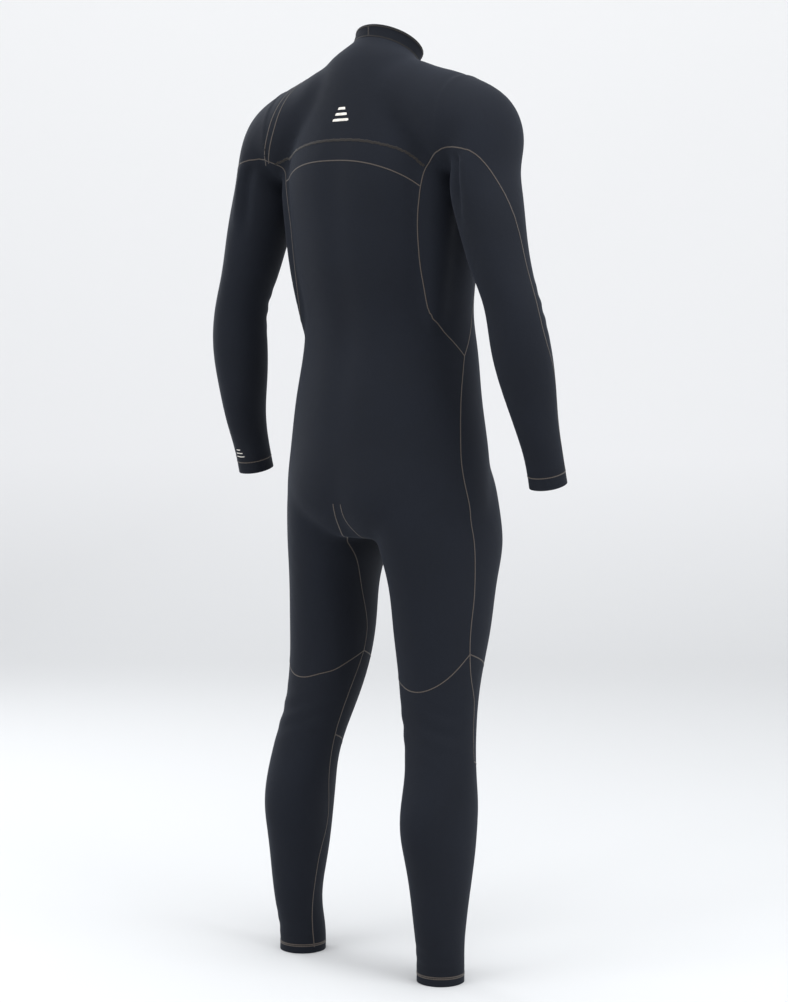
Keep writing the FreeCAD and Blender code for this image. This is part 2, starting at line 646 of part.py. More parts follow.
def check():
    """Stop unless every object was built and every piece is a valid solid."""
    doc.recompute()
    for item in doc.Objects:
        if "Invalid" in item.State or "Error" in item.State:
            raise RuntimeError(f"{item.Name}: {item.getStatusString()}")
    for piece in nodes:
        if piece.Shape.isNull() or not piece.Shape.isValid() or not piece.Shape.Solids:
            raise RuntimeError(f"{piece.Label} is not a valid solid")


def export():
    os.makedirs("parts", exist_ok=True)
    for piece in nodes:
        piece.Shape.exportStep(f"parts/{piece.Label}.step")
        print(f"{piece.Label}: {len(piece.Shape.Solids)} solids, {piece.Shape.Volume / 1000:.1f} cm3")


fill_sheet()
skins = skin_lofts()
filled_suit, body_space = torso_panels(skins)
hip_panels(filled_suit, body_space)
pair(leg_panels(skins))
pair(arm_panels(skins))
collar()
zip_parts()
pull_tab(slider_parts())
check()
export()
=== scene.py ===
"""Full-length neoprene wetsuit with a chest zip: the sewn skin, seams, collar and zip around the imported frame.

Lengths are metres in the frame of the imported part: +Z up, front -Y, the wearer's left +X.
"""

import math

import bmesh
import bpy
import numpy as np
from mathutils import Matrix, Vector
from mathutils.bvhtree import BVHTree


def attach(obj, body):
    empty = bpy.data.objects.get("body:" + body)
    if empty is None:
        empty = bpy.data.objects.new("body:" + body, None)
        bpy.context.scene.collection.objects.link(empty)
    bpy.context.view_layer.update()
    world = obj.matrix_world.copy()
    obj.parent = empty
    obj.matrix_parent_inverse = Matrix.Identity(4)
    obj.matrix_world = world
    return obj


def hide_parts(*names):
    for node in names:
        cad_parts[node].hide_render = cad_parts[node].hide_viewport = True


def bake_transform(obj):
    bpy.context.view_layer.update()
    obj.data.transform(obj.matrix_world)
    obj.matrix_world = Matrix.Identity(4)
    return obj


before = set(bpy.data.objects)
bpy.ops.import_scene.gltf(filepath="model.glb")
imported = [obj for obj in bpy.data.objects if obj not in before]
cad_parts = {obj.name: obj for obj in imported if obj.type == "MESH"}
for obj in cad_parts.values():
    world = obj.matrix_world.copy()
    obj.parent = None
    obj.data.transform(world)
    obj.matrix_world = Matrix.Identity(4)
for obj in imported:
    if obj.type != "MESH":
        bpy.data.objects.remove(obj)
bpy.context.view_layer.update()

bl_info = {
    "name": "Full wetsuit",
    "version": (1, 0, 0),
    "blender": (4, 5, 0),
    "location": "View3D > Sidebar > Wetsuit",
    "description": "Builds the skin, seams, collar, cuffs and chest zip of a full wetsuit",
    "category": "Object",
}

SIDES = (("left", 1.0), ("right", -1.0))
MM = 0.001

# Stations in millimetres. The torso, the arm and the leg from the thigh down repeat the part's own;
# the shoulder, the bend and the top of the leg differ a little and reach further into the torso.
# Torso: drop, y, half width, half depth, lean.
TORSO = (
    (757, 0, 130, 85, 0), (735, -4, 165, 114, 0), (690, -2, 179, 129, 0), (615, 0, 172, 124, 0),
    (540, 1, 162, 117, 0), (465, -3, 152, 109, 0), (410, 1, 148, 106, 0), (350, 7, 156, 112, 0),
    (280, 11, 163, 116, 0), (215, 13, 165, 117, 0), (150, 15, 158, 110, 0), (100, 19, 139, 95, 6),
    (60, 22, 110, 79, 12), (32, 17, 81, 65, 20), (13.4, 6.8, 53, 53, 27), (-13.4, -6.8, 51, 51, 27),
)
# Shoulder, on upright planes: x, y, drop, radius.
SHOULDER = ((25, 33, 76, 58), (60, 35, 86, 65), (115, 30, 110, 71), (170, 22, 134, 78))
# Bend about the armpit: angle, span, half depth, y.
FAN = ((27, 132, 72, 22), (50, 107, 70, 26), (75, 88, 66, 34))
# Arm: x, y, drop, half width, half depth, lean.
ARM = (
    (222, 39, 230, 48, 62, 0), (238, 44, 290, 47.5, 54, 0), (256, 45, 350, 44, 48, 0),
    (275, 44, 400, 43, 43, 0), (285, 37, 460, 44.5, 44.5, 5), (291, 25, 520, 40, 41, 10),
    (297, 11, 580, 30, 36, 14), (299, -6.4, 637, 28.5, 28.5, 15), (299, -14.2, 666, 28.5, 28.5, 15),
    (299, -22, 695, 28.5, 28.5, 15),
)
# Leg: x, y, drop, half width, half depth, toe-out.
LEG = (
    (74, 0, 540, 50, 62, 2), (84, 0, 610, 68, 88, 4), (91, -2, 665, 77, 104, 7), (96, -3, 715, 79, 109, 10),
    (104, -3, 770, 76, 105, 13),
    (110, 1, 820, 69, 93, 14), (112, 5, 900, 67, 79, 14), (115, 14, 980, 63, 63, 10),
    (124, 26, 1040, 57, 58, 10), (133, 35, 1080, 55, 55, 10), (140, 43, 1120, 54, 57, 10),
    (143, 49, 1160, 52, 65, 8), (144, 52, 1200, 50, 66, 8), (145, 51, 1240, 47, 60, 8),
    (146, 51, 1280, 44, 52, 8), (146, 51, 1360, 35.5, 42, 8), (143, 46, 1404, 37, 37, 0),
    (143, 46, 1434, 37, 37, 0), (143, 46, 1474, 37, 37, 0),
)
ARMHOLE = np.array((170, 22, -134)) * MM
ARMHOLE_RADIUS = 78 * MM
COLLAR_LEAN = math.radians(27)
COLLAR_AXIS = np.array((0, -math.sin(COLLAR_LEAN), math.cos(COLLAR_LEAN)))
WRIST_LEAN = math.radians(15)
WRIST_AXIS = np.array((0, -math.sin(WRIST_LEAN), -math.cos(WRIST_LEAN)))
WRIST_HEAD = np.array((299, -6.4, -637)) * MM
CUFF = 30 * MM
ANKLE_HEAD = -1404 * MM
ELBOW = (-350 * MM, -452 * MM)
KNEE = (-965 * MM, -1100 * MM)
HIP_REACH = 150 * MM
HIP_SLOPE = 0.66
HIP_LEVEL = -760 * MM
ZIP_CENTRE = np.array((0, 103.74, -170)) * MM
ZIP_RADIUS = 201.5 * MM
ZIP_HALF = math.radians(38)
SLOT_HALF = 11 * MM
FLOOR_LEVEL = -1434.5 * MM
RIBBON_POINTS = 7
PATCH_POINTS = 9
FLAP_ROWS, FLAP_COLUMNS = 15, 61
PAPER_ROWS, PAPER_COLUMNS = 60, 20


def suit():
    return bpy.context.scene.wetsuit


# ---------------------------------------------------------------- numbers

def spline(knots, values, at):
    """Natural cubic curve through values at the knots, read at other places: the second
    derivative is a straight line between knots and nothing at both ends."""
    knots, values, at = (np.asarray(a, float) for a in (knots, values, at))
    n, h = len(knots), np.diff(knots)
    system, right = np.eye(n), np.zeros_like(values)
    rows = np.arange(1, n - 1)
    system[rows, rows - 1], system[rows, rows], system[rows, rows + 1] = h[:-1], 2 * (h[:-1] + h[1:]), h[1:]
    slope = np.diff(values, axis=0) / h[:, None]
    right[1:-1] = 6 * np.diff(slope, axis=0)
    bend = np.linalg.solve(system, right)
    i = np.clip(np.searchsorted(knots, at) - 1, 0, n - 2)
    a, b = (knots[i + 1] - at)[:, None], (at - knots[i])[:, None]
    w = h[i][:, None]
    return (bend[i] * a ** 3 + bend[i + 1] * b ** 3) / (6 * w) \
        + (values[i] / w - bend[i] * w / 6) * a + (values[i + 1] / w - bend[i + 1] * w / 6) * b


def unit(v):
    return v / np.maximum(np.linalg.norm(v, axis=-1, keepdims=True), 1e-12)


def grid_faces(rows, columns, wrap):
    """Quads of a grid of rows and columns, the columns closed into rings if wrap."""
    r, c = np.meshgrid(np.arange(rows - 1), np.arange(columns if wrap else columns - 1), indexing="ij")
    d = (c + 1) % columns
    return np.stack((r * columns + c, r * columns + d, (r + 1) * columns + d, (r + 1) * columns + c),
            -1).reshape(-1, 4)


def tube(centres, first, second, step=6 * MM, around=96):
    """Closed tube: ring point = centre + first * cos + second * sin, where the centre and the two
    half-axes run along natural cubic curves through the stations."""
    centres, first, second = (np.asarray(a, float) * MM for a in (centres, first, second))
    knots = np.concatenate(([0], np.cumsum(np.linalg.norm(np.diff(centres, axis=0), axis=1))))
    at = np.linspace(0, knots[-1], int(knots[-1] / step) + 2)
    c, a, b = (spline(knots, v, at) for v in (centres, first, second))
    turn = np.linspace(0, 2 * math.pi, around, endpoint=False)
    ring = c[:, None] + a[:, None] * np.cos(turn)[:, None] + b[:, None] * np.sin(turn)[:, None]
    verts = np.concatenate((ring.reshape(-1, 3), c[:1], c[-1:]))
    faces = grid_faces(len(at), around, True)
    k = np.arange(around)
    last = (len(at) - 1) * around
    caps = np.concatenate((
        np.stack((np.full(around, len(verts) - 2), (k + 1) % around, k), 1),
        np.stack((np.full(around, len(verts) - 1), last + k, last + (k + 1) % around), 1)))
    return verts, [list(f) for f in faces.tolist()] + [list(f) for f in caps.tolist()]


def torso_form():
    """Torso: upright rings leaning forward towards the neck."""
    s = np.array(TORSO, float)
    zero, lean = np.zeros(len(s)), np.radians(s[:, 4])
    centre = np.stack((zero, s[:, 1], -s[:, 0]), 1)
    side = np.stack((s[:, 2], zero, zero), 1)
    fore = np.stack((zero, np.cos(lean) * s[:, 3], np.sin(lean) * s[:, 3]), 1)
    return tube(centre, side, fore)


def arm_form(sign):
    """Arm: upright rings out of the shoulder, rings fanned about the armpit, then level rings down the sleeve."""
    centre, first, second = [], [], []
    for x, y, drop, r in SHOULDER:
        centre.append((x, y, -drop))
        first.append((0, r, 0))
        second.append((0, 0, r))
    pit = ARMHOLE / MM - (0, 0, ARMHOLE_RADIUS / MM)
    for angle, span, deep, y in FAN:
        t = math.radians(angle)
        out = np.array((math.sin(t), 0, math.cos(t)))
        spot = pit + out * (5 + span / 2)
        centre.append((spot[0], y, spot[2]))
        first.append((0, deep, 0))
        second.append(tuple(out * span / 2))
    for x, y, drop, wide, deep, lean in ARM:
        t = math.radians(lean)
        centre.append((x, y, -drop))
        first.append((0, deep * math.cos(t), -deep * math.sin(t)))
        second.append((wide, 0, 0))
    flip = np.array((sign, 1, 1))
    return tube(np.array(centre) * flip, np.array(first) * flip, np.array(second) * flip)


def side_form(sign):
    """The broad muscle under the arm: upright rings that stand a little out of the torso's back corner."""
    s = np.array(((118, 38, 440, 20), (125, 45, 340, 31), (128, 47, 255, 37), (128, 45, 190, 38),
            (122, 40, 140, 30)), float)
    zero = np.zeros(len(s))
    flip = np.array((sign, 1, 1))
    return tube(np.stack((s[:, 0], s[:, 1], -s[:, 2]), 1) * flip, np.stack((s[:, 3], zero, zero), 1) * flip,
                np.stack((zero, s[:, 3], zero), 1) * flip)


def leg_form(sign):
    """Leg: level rings turned outwards with the foot."""
    s = np.array(LEG, float)
    zero, toe = np.zeros(len(s)), np.radians(s[:, 5])
    centre = np.stack((s[:, 0], s[:, 1], -s[:, 2]), 1)
    side = np.stack((np.cos(toe) * s[:, 3], np.sin(toe) * s[:, 3], zero), 1)
    fore = np.stack((-np.sin(toe) * s[:, 4], np.cos(toe) * s[:, 4], zero), 1)
    flip = np.array((sign, 1, 1))
    return tube(centre * flip, side * flip, fore * flip)


def relief(p, normal):
    """How far the filled suit stands proud of its rings: soft round swellings and hollows, each a
    height times exp(-distance squared), which fade where the surface faces away."""
    x, y, z = np.abs(p[:, 0]), p[:, 1], p[:, 2]
    back = np.clip(normal[:, 1] * 1.6, 0, 1)
    front = np.clip(-normal[:, 1] * 1.6, 0, 1)

    def swell(height, x0, wide, z0, tall, face):
        return height * MM * np.exp(-((x - x0 * MM) / (wide * MM)) ** 2 - ((z - z0 * MM) / (tall * MM)) ** 2) * face

    return (swell(6, 84, 58, -690, 66, back) + swell(-4, 0, 24, -720, 60, back)
            + swell(-5, 0, 30, -430, 150, back) + swell(4, 90, 48, -200, 60, back)
            + swell(-3, 0, 26, -210, 80, back) + swell(3, 78, 60, -215, 55, front)
            + swell(-3, 0, 22, -300, 140, front) + swell(-3, 118, 40, -1040, 30, back))


def folds(p, normal):
    """Shallow creases where the rubber gathers: waves down the limb at the back of the knee, in the crook of the
    elbow and at the ankle, and the sharp fold behind the armpit."""
    x, y, z = np.abs(p[:, 0]), p[:, 1], p[:, 2]
    back, front = np.clip(normal[:, 1] * 1.5, 0, 1), np.clip(-normal[:, 1] * 1.5, 0, 1)
    limb = (x > 0.17 - 0.15 * np.minimum(z + 0.23, 0)).astype(float)

    def band(height, z0, tall, length, slant, face):
        wave = np.sin(2 * math.pi * (z - z0 * MM + slant * (x - 0.12)) / (length * MM) + 9 * x)
        return height * MM * wave * np.exp(-((z - z0 * MM) / (tall * MM)) ** 2) * face

    knee = band(0.9, -1046, 34, 30, 0.35, back * (z < -0.9))
    crook = band(0.9, -401, 32, 26, -0.2, front * limb)
    ankle = band(0.5, -1392, 26, 24, 0.3, back)
    return knee + crook + ankle + armpit_fold(p, normal)


def armpit_fold(p, normal):
    """The sharp fold behind the armpit: a narrow trough under a slanting line on the back of the
    sleeve, deepest near its top, with a soft lip on its outer side."""
    x, y, z = np.abs(p[:, 0]), p[:, 1], p[:, 2]
    off = x - (0.208 + 0.10 * (-0.184 - z))
    reach = step_up(-z, 0.172, 0.188) * step_up(z, -0.300, -0.225) * np.clip(normal[:, 1] * 2, 0, 1)
    return reach * MM * (-8.5 * np.exp(-(off / 0.0075) ** 2) + 2.5 * np.exp(-((off - 0.016) / 0.011) ** 2))


def step_up(x, low, high):
    """0 below low, 1 above high and a smooth cubic between."""
    t = np.clip((x - low) / (high - low), 0, 1)
    return t * t * (3 - 2 * t)


def joins(p):
    """1 where tubes run into each other inside the torso, at the shoulders and hips, fading to 0."""
    x, z = np.abs(p[:, 0]), p[:, 2]
    shoulder = step_up(z, -0.46, -0.40) * step_up(-z, 0.012, 0.035) * step_up(-x, -0.166, -0.150)
    hip = step_up(z, -0.90, -0.80) * step_up(-z, 0.56, 0.62)
    return np.clip(shoulder + hip, 0, 1)[:, None]


def smooth(verts, edges, rounds, share=1.0):
    """Moves every point towards the mean of its neighbours, then a little further back, so that
    it evens out without shrinking; share is how much of each move a point takes."""
    count = np.bincount(edges.ravel(), minlength=len(verts))[:, None]
    for k in range(rounds * 2):
        total = np.zeros_like(verts)
        for axis in range(3):
            total[:, axis] = np.bincount(edges[:, 0], verts[edges[:, 1], axis], len(verts)) \
                + np.bincount(edges[:, 1], verts[edges[:, 0], axis], len(verts))
        verts = verts + (0.6 if k % 2 == 0 else -0.61) * share * (total / count - verts)
    return verts


def read(mesh):
    """Points and edges of a mesh as arrays."""
    verts = np.empty(len(mesh.vertices) * 3)
    mesh.vertices.foreach_get("co", verts)
    edges = np.empty(len(mesh.edges) * 2, int)
    mesh.edges.foreach_get("vertices", edges)
    return verts.reshape(-1, 3), edges.reshape(-1, 2)


def point_normals(mesh):
    """Outward direction at every point of a mesh."""
    out = np.empty(len(mesh.vertices) * 3)
    mesh.vertex_normals.foreach_get("vector", out)
    return out.reshape(-1, 3)


def is_arm(p):
    """Beyond the armhole plane, and below the armpit beyond a line leaning outwards."""
    return (np.abs(p[..., 0]) > 0.17 + 0.15 * np.maximum(-0.23 - p[..., 2], 0)) & (p[..., 2] > -0.75)


def hip_depth(p):
    """How far a point is below the slanting plane from the crotch to the hip."""
    return -(p[..., 2] - HIP_LEVEL - HIP_SLOPE * np.abs(p[..., 0])) / math.hypot(1, HIP_SLOPE)


def wrist_depth(p):
    head = WRIST_HEAD * np.stack((np.sign(p[..., 0]), np.ones(p.shape[:-1]), np.ones(p.shape[:-1])), -1)
    return np.sum((p - head) * WRIST_AXIS, -1)


ZONES = ("torso", "hip", "thigh", "knee", "shin", "ankle", "upper_arm", "elbow", "forearm", "wrist")


def zone_of(p):
    """Number of the zone in ZONES that each point lies in."""
    z, depth = p[..., 2], hip_depth(p)
    leg = np.select((depth < 0, depth < HIP_REACH, z > KNEE[0], z > KNEE[1], z > ANKLE_HEAD),
            (0, 1, 2, 3, 4), 5)
    arm = np.select((z > ELBOW[0], z > ELBOW[1], wrist_depth(p) < 0), (6, 7, 8), 9)
    return np.where(is_arm(p), arm, leg)


def make_form():
    """The whole filled suit as one closed surface: the tubes fused, evened out and given relief."""
    verts, faces, base = [], [], 0
    for part in (torso_form(), *(form(sign) for form in (arm_form, side_form, leg_form) for sign in (1,
            -1))):
        verts.append(part[0])
        faces += [[i + base for i in f] for f in part[1]]
        base += len(part[0])
    mesh = bpy.data.meshes.new("form")
    mesh.from_pydata(np.concatenate(verts).tolist(), [], faces)
    obj = bpy.data.objects.new("form", mesh)
    bpy.context.scene.collection.objects.link(obj)
    fuse = obj.modifiers.new("fuse", "REMESH")
    fuse.mode, fuse.voxel_size, fuse.adaptivity = "VOXEL", suit().grain, 0
    bpy.context.view_layer.update()
    fused = bpy.data.meshes.new_from_object(obj.evaluated_get(bpy.context.evaluated_depsgraph_get()))
    bpy.data.objects.remove(obj)
    points, edges = read(fused)
    points = smooth(points, edges, 10)
    points = smooth(points, edges, 130, joins(points))
    fused.vertices.foreach_set("co", points.ravel())
    fused.update()
    normal = point_normals(fused)
    points = points + normal * (relief(points, normal) + folds(points, normal))[:, None]
    points = round_armholes(smooth(points, edges, 2))
    fused.vertices.foreach_set("co", points.ravel())
    fused.update()
    return fused


def round_armholes(p):
    """Draws the points near the armhole plane onto the circle that the sleeve turns on."""
    offset = p[:, 1:] - ARMHOLE[1:]
    radius = np.linalg.norm(offset, axis=1)
    near = np.exp(-((np.abs(p[:, 0]) - ARMHOLE[0]) / 0.006) ** 2) * (radius < 0.1) * (radius > 0.055) * (np.abs(p[:, 0]) > 0.14)
    p = p.copy()
    p[:, 1:] += offset * (near * (ARMHOLE_RADIUS / np.maximum(radius, 1e-6) - 1))[:, None]
    return p


def slice_form(mesh):
    """Cuts the surface along every plane where a piece ends, so that each face lies in one zone,
    and takes away what is beyond the neck, the cuffs and the zip's slot."""
    bm = bmesh.new()
    bm.from_mesh(mesh)

    def cut(spot, normal, where, clear=False):
        faces = [f for f in bm.faces if where(f.calc_center_median())]
        parts = list({v for f in faces for v in f.verts}) + list({e for f in faces for e in f.edges}) + faces
        bmesh.ops.bisect_plane(bm, geom=parts, dist=1e-6, plane_co=spot, plane_no=normal, clear_outer=clear)

    collar_foot = tuple(COLLAR_AXIS * -0.015)
    cut(collar_foot, tuple(COLLAR_AXIS), lambda c: c.z > -0.06 and abs(c.x) < 0.08, True)
    for name, sign in SIDES:
        side = lambda c, s=sign: c.x * s > 0
        cut((ARMHOLE[0] * sign, 0, 0), (sign, 0, 0), lambda c: side(c) and c.z > -0.24 and abs(c.x) > 0.15)
        for level in ELBOW:
            cut((0, 0, level), (0, 0, 1), lambda c: side(c) and abs(c.x) > 0.2 and abs(c.z - level) < 0.02)
        for level in (*KNEE, ANKLE_HEAD):
            cut((0, 0, level), (0, 0, 1), lambda c: side(c) and abs(c.z - level) < 0.02 and abs(c.x) < 0.24)
        cut((0, 0, ANKLE_HEAD - CUFF), (0, 0, -1), lambda c: side(c) and c.z < -1.41, True)
        head = WRIST_HEAD * (sign, 1, 1)
        cut(tuple(head), tuple(WRIST_AXIS),
                lambda c: side(c) and abs(c.x) > 0.24 and c.z < -0.6 and c.z > -0.68)
        cut(tuple(head + WRIST_AXIS * CUFF), tuple(WRIST_AXIS),
                lambda c: side(c) and abs(c.x) > 0.24 and -0.8 < c.z < -0.64, True)
        slant = np.array((-HIP_SLOPE * sign, 0, 1)) / math.hypot(1, HIP_SLOPE)
        for depth in (0, HIP_REACH):
            spot = np.array((0, 0, HIP_LEVEL)) - slant * depth
            cut(tuple(spot), tuple(slant), lambda c: side(c) and abs(c.x) < 0.22 and -0.96 < c.z < -0.6)
    chest = lambda c: c.y < 0.02 and -0.2 < c.z < -0.14 and abs(c.x) < 0.14
    for rise in (SLOT_HALF, -SLOT_HALF):
        cut((0, 0, ZIP_CENTRE[2] + rise), (0, 0, 1), chest)
    for sign in (1, -1):
        normal = (sign * math.cos(ZIP_HALF), math.sin(ZIP_HALF), 0)
        cut(tuple(ZIP_CENTRE), normal, lambda c: chest(c) and abs(c.z - ZIP_CENTRE[2]) < SLOT_HALF + 0.002)
    gone = []
    for f in bm.faces:
        c = f.calc_center_median()
        if chest(c) and abs(c.z - ZIP_CENTRE[2]) < SLOT_HALF and abs(math.atan2(c.x,
                ZIP_CENTRE[1] - c.y)) < ZIP_HALF:
            gone.append(f)
    bmesh.ops.delete(bm, geom=gone, context="FACES")
    bmesh.ops.delete(bm, geom=[f for f in bm.faces if f.calc_area() < 1e-10], context="FACES")
    out = bpy.data.meshes.new("cut_form")
    bm.to_mesh(out)
    bm.free()
    return out


class Skin:
    """The cut surface as arrays, shared by the pieces that are made from it."""
    made = None

    @classmethod
    def get(cls):
        if cls.made is None:
            form = make_form()
            whole, _ = read(form)
            cls.tree = BVHTree.FromPolygons(whole.tolist(), [list(f.vertices) for f in form.polygons])
            mesh = slice_form(form)
            cls.points, _ = read(mesh)
            cls.normals = point_normals(mesh)
            cls.faces = [list(f.vertices) for f in mesh.polygons]
            middle = np.array([cls.points[f].mean(0) for f in cls.faces])
            cls.zone, cls.side = zone_of(middle), np.sign(middle[:, 0])
            cls.made = mesh
        return cls


def place_mesh(name, verts, faces, material, uv=None, normals=None):
    """Puts arrays into a new object with smooth faces."""
    mesh = bpy.data.meshes.new(name)
    mesh.from_pydata(np.asarray(verts).tolist(), [], [list(map(int, f)) for f in faces])
    mesh.polygons.foreach_set("use_smooth", [True] * len(mesh.polygons))
    if uv is not None:
        layer = mesh.uv_layers.new(name="along_across")
        loops = np.empty(len(mesh.loops), int)
        mesh.loops.foreach_get("vertex_index", loops)
        layer.data.foreach_set("uv", np.asarray(uv)[loops].ravel())
    mesh.materials.append(material)
    if normals is not None:
        mesh.normals_split_custom_set_from_vertices(unit(np.asarray(normals)).tolist())
    obj = bpy.data.objects.new(name, mesh)
    bpy.context.scene.collection.objects.link(obj)
    return obj


def shell(name, chosen, wall, material):
    """A piece of the skin with its thickness: the chosen faces, the same faces moved in along the
    normals and turned over, and a strip that joins both along every open edge."""
    skin = Skin.get()
    faces = [skin.faces[i] for i in np.flatnonzero(chosen)]
    used = np.unique(np.concatenate([np.array(f) for f in faces]))
    slot_of = np.full(len(skin.points), -1)
    slot_of[used] = np.arange(len(used))
    outer = [slot_of[f].tolist() for f in faces]
    n = len(used)
    inner = [[i + n for i in reversed(f)] for f in outer]
    pairs = np.concatenate([np.stack((f, np.roll(f, -1)), 1) for f in outer])
    key = np.sort(pairs, 1) @ np.array((n, 1))
    _, first, count = np.unique(key, return_index=True, return_counts=True)
    rim = pairs[first[count == 1]]
    strip = np.stack((rim[:, 1], rim[:, 0], rim[:, 0] + n, rim[:, 1] + n), 1).tolist()
    p, nrm = skin.points[used], skin.normals[used]
    return place_mesh(name, np.concatenate((p, p - nrm * wall)), outer + inner + strip, material,
                      normals=np.concatenate((nrm, -nrm)))


# ---------------------------------------------------------------- materials

def new_material(name):
    material = bpy.data.materials.new(name)
    material.use_nodes = True
    tree = material.node_tree
    return material, tree, tree.nodes["Principled BSDF"]


def node(tree, kind, **values):
    made = tree.nodes.new(kind)
    for key, value in values.items():
        if key in made.inputs:
            made.inputs[key].default_value = value
        else:
            setattr(made, key, value)
    return made


def ramp(tree, source, stops):
    made = tree.nodes.new("ShaderNodeValToRGB")
    while len(made.color_ramp.elements) < len(stops):
        made.color_ramp.elements.new(0.5)
    for element, (place, colour) in zip(made.color_ramp.elements, stops):
        element.position = place
        element.color = (*colour, 1)
    tree.links.new(source, made.inputs["Fac"])
    return made.outputs["Color"]


def jersey(name, colour, sheen, rough=0.8, knit=1.0):
    """Fine-knit jersey on foam rubber: two crossed waves a millimetre apart make the loops, a slow
    noise shades the dye, and a fine noise is the nap."""
    material, tree, shader = new_material(name)
    link = tree.links.new
    where = node(tree, "ShaderNodeTexCoord").outputs["Object"]
    waves = []
    for direction in ("DIAGONAL", "Z"):
        wave = node(tree, "ShaderNodeTexWave", wave_type="BANDS", bands_direction=direction,
                Scale=260.0 * knit, Distortion=1.2, Detail=1.0)
        link(where, wave.inputs["Vector"])
        waves.append(wave.outputs["Fac"])
    knit_height = node(tree, "ShaderNodeMath", operation="MULTIPLY")
    link(waves[0], knit_height.inputs[0])
    link(waves[1], knit_height.inputs[1])
    nap = node(tree, "ShaderNodeTexNoise", Scale=1500.0, Detail=2.0)
    link(where, nap.inputs["Vector"])
    height = node(tree, "ShaderNodeMath", operation="ADD")
    link(knit_height.outputs[0], height.inputs[0])
    link(nap.outputs["Fac"], height.inputs[1])
    bump = node(tree, "ShaderNodeBump", Strength=0.35, Distance=0.0003)
    link(height.outputs[0], bump.inputs["Height"])
    link(bump.outputs[0], shader.inputs["Normal"])
    dye = node(tree, "ShaderNodeTexNoise", Scale=9.0, Detail=4.0, Roughness=0.6)
    link(where, dye.inputs["Vector"])
    grains = node(tree, "ShaderNodeTexNoise", Scale=700.0, Detail=1.0)
    link(where, grains.inputs["Vector"])
    mixed = node(tree, "ShaderNodeMath", operation="MULTIPLY_ADD")
    link(dye.outputs["Fac"], mixed.inputs[0])
    mixed.inputs[1].default_value = 0.55
    part = node(tree, "ShaderNodeMath", operation="MULTIPLY")
    link(grains.outputs["Fac"], part.inputs[0])
    part.inputs[1].default_value = 0.45
    link(part.outputs[0], mixed.inputs[2])
    c = np.array(colour)
    link(ramp(tree, mixed.outputs[0], ((0.25, c * 0.78), (0.5, c), (0.78, c * 1.28))),
            shader.inputs["Base Color"])
    rough_map = node(tree, "ShaderNodeMapRange")
    link(dye.outputs["Fac"], rough_map.inputs["Value"])
    rough_map.inputs["To Min"].default_value, rough_map.inputs["To Max"].default_value = rough - 0.05, rough + 0.07
    link(rough_map.outputs["Result"], shader.inputs["Roughness"])
    shader.inputs["Specular IOR Level"].default_value = 0.16
    shader.inputs["Sheen Weight"].default_value = sheen
    shader.inputs["Sheen Roughness"].default_value = 0.45
    shader.inputs["Sheen Tint"].default_value = (0.62, 0.72, 0.95, 1)
    return material


def thread(name, dark, light, pitch, rows):
    """Flat seam: rows of slanting stitches in a light thread between dark needle lines, drawn along
    the seam's own length and width; rows gives the brightness across, out from the middle."""
    material, tree, shader = new_material(name)
    link = tree.links.new
    where = node(tree, "ShaderNodeUVMap", uv_map="along_across").outputs[0]
    split = node(tree, "ShaderNodeSeparateXYZ")
    link(where, split.inputs[0])
    turns = node(tree, "ShaderNodeMath", operation="MULTIPLY")
    link(split.outputs["X"], turns.inputs[0])
    turns.inputs[1].default_value = 2 * math.pi / pitch
    slant = node(tree, "ShaderNodeMath", operation="MULTIPLY_ADD")
    link(split.outputs["Y"], slant.inputs[0])
    slant.inputs[1].default_value = 1800.0
    link(turns.outputs[0], slant.inputs[2])
    sine = node(tree, "ShaderNodeMath", operation="SINE")
    link(slant.outputs[0], sine.inputs[0])
    beads = node(tree, "ShaderNodeMapRange")
    link(sine.outputs[0], beads.inputs["Value"])
    beads.inputs["From Min"].default_value = -1.0
    beads.inputs["To Min"].default_value, beads.inputs["To Max"].default_value = 0.35, 1.0
    across = node(tree, "ShaderNodeMath", operation="ABSOLUTE")
    link(split.outputs["Y"], across.inputs[0])
    scaled = node(tree, "ShaderNodeMath", operation="MULTIPLY")
    link(across.outputs[0], scaled.inputs[0])
    scaled.inputs[1].default_value = 400.0
    band = ramp(tree, scaled.outputs[0], [(place, (level,) * 3) for place, level in rows])
    amount = node(tree, "ShaderNodeMath", operation="MULTIPLY")
    link(band, amount.inputs[0])
    link(beads.outputs["Result"], amount.inputs[1])
    link(ramp(tree, amount.outputs[0], ((0.0, dark), (1.0, light))), shader.inputs["Base Color"])
    bump = node(tree, "ShaderNodeBump", Strength=0.6, Distance=0.0004)
    link(amount.outputs[0], bump.inputs["Height"])
    link(bump.outputs[0], shader.inputs["Normal"])
    shader.inputs["Roughness"].default_value = 0.85
    shader.inputs["Specular IOR Level"].default_value = 0.2
    shader.inputs["Sheen Weight"].default_value = 0.2
    return material


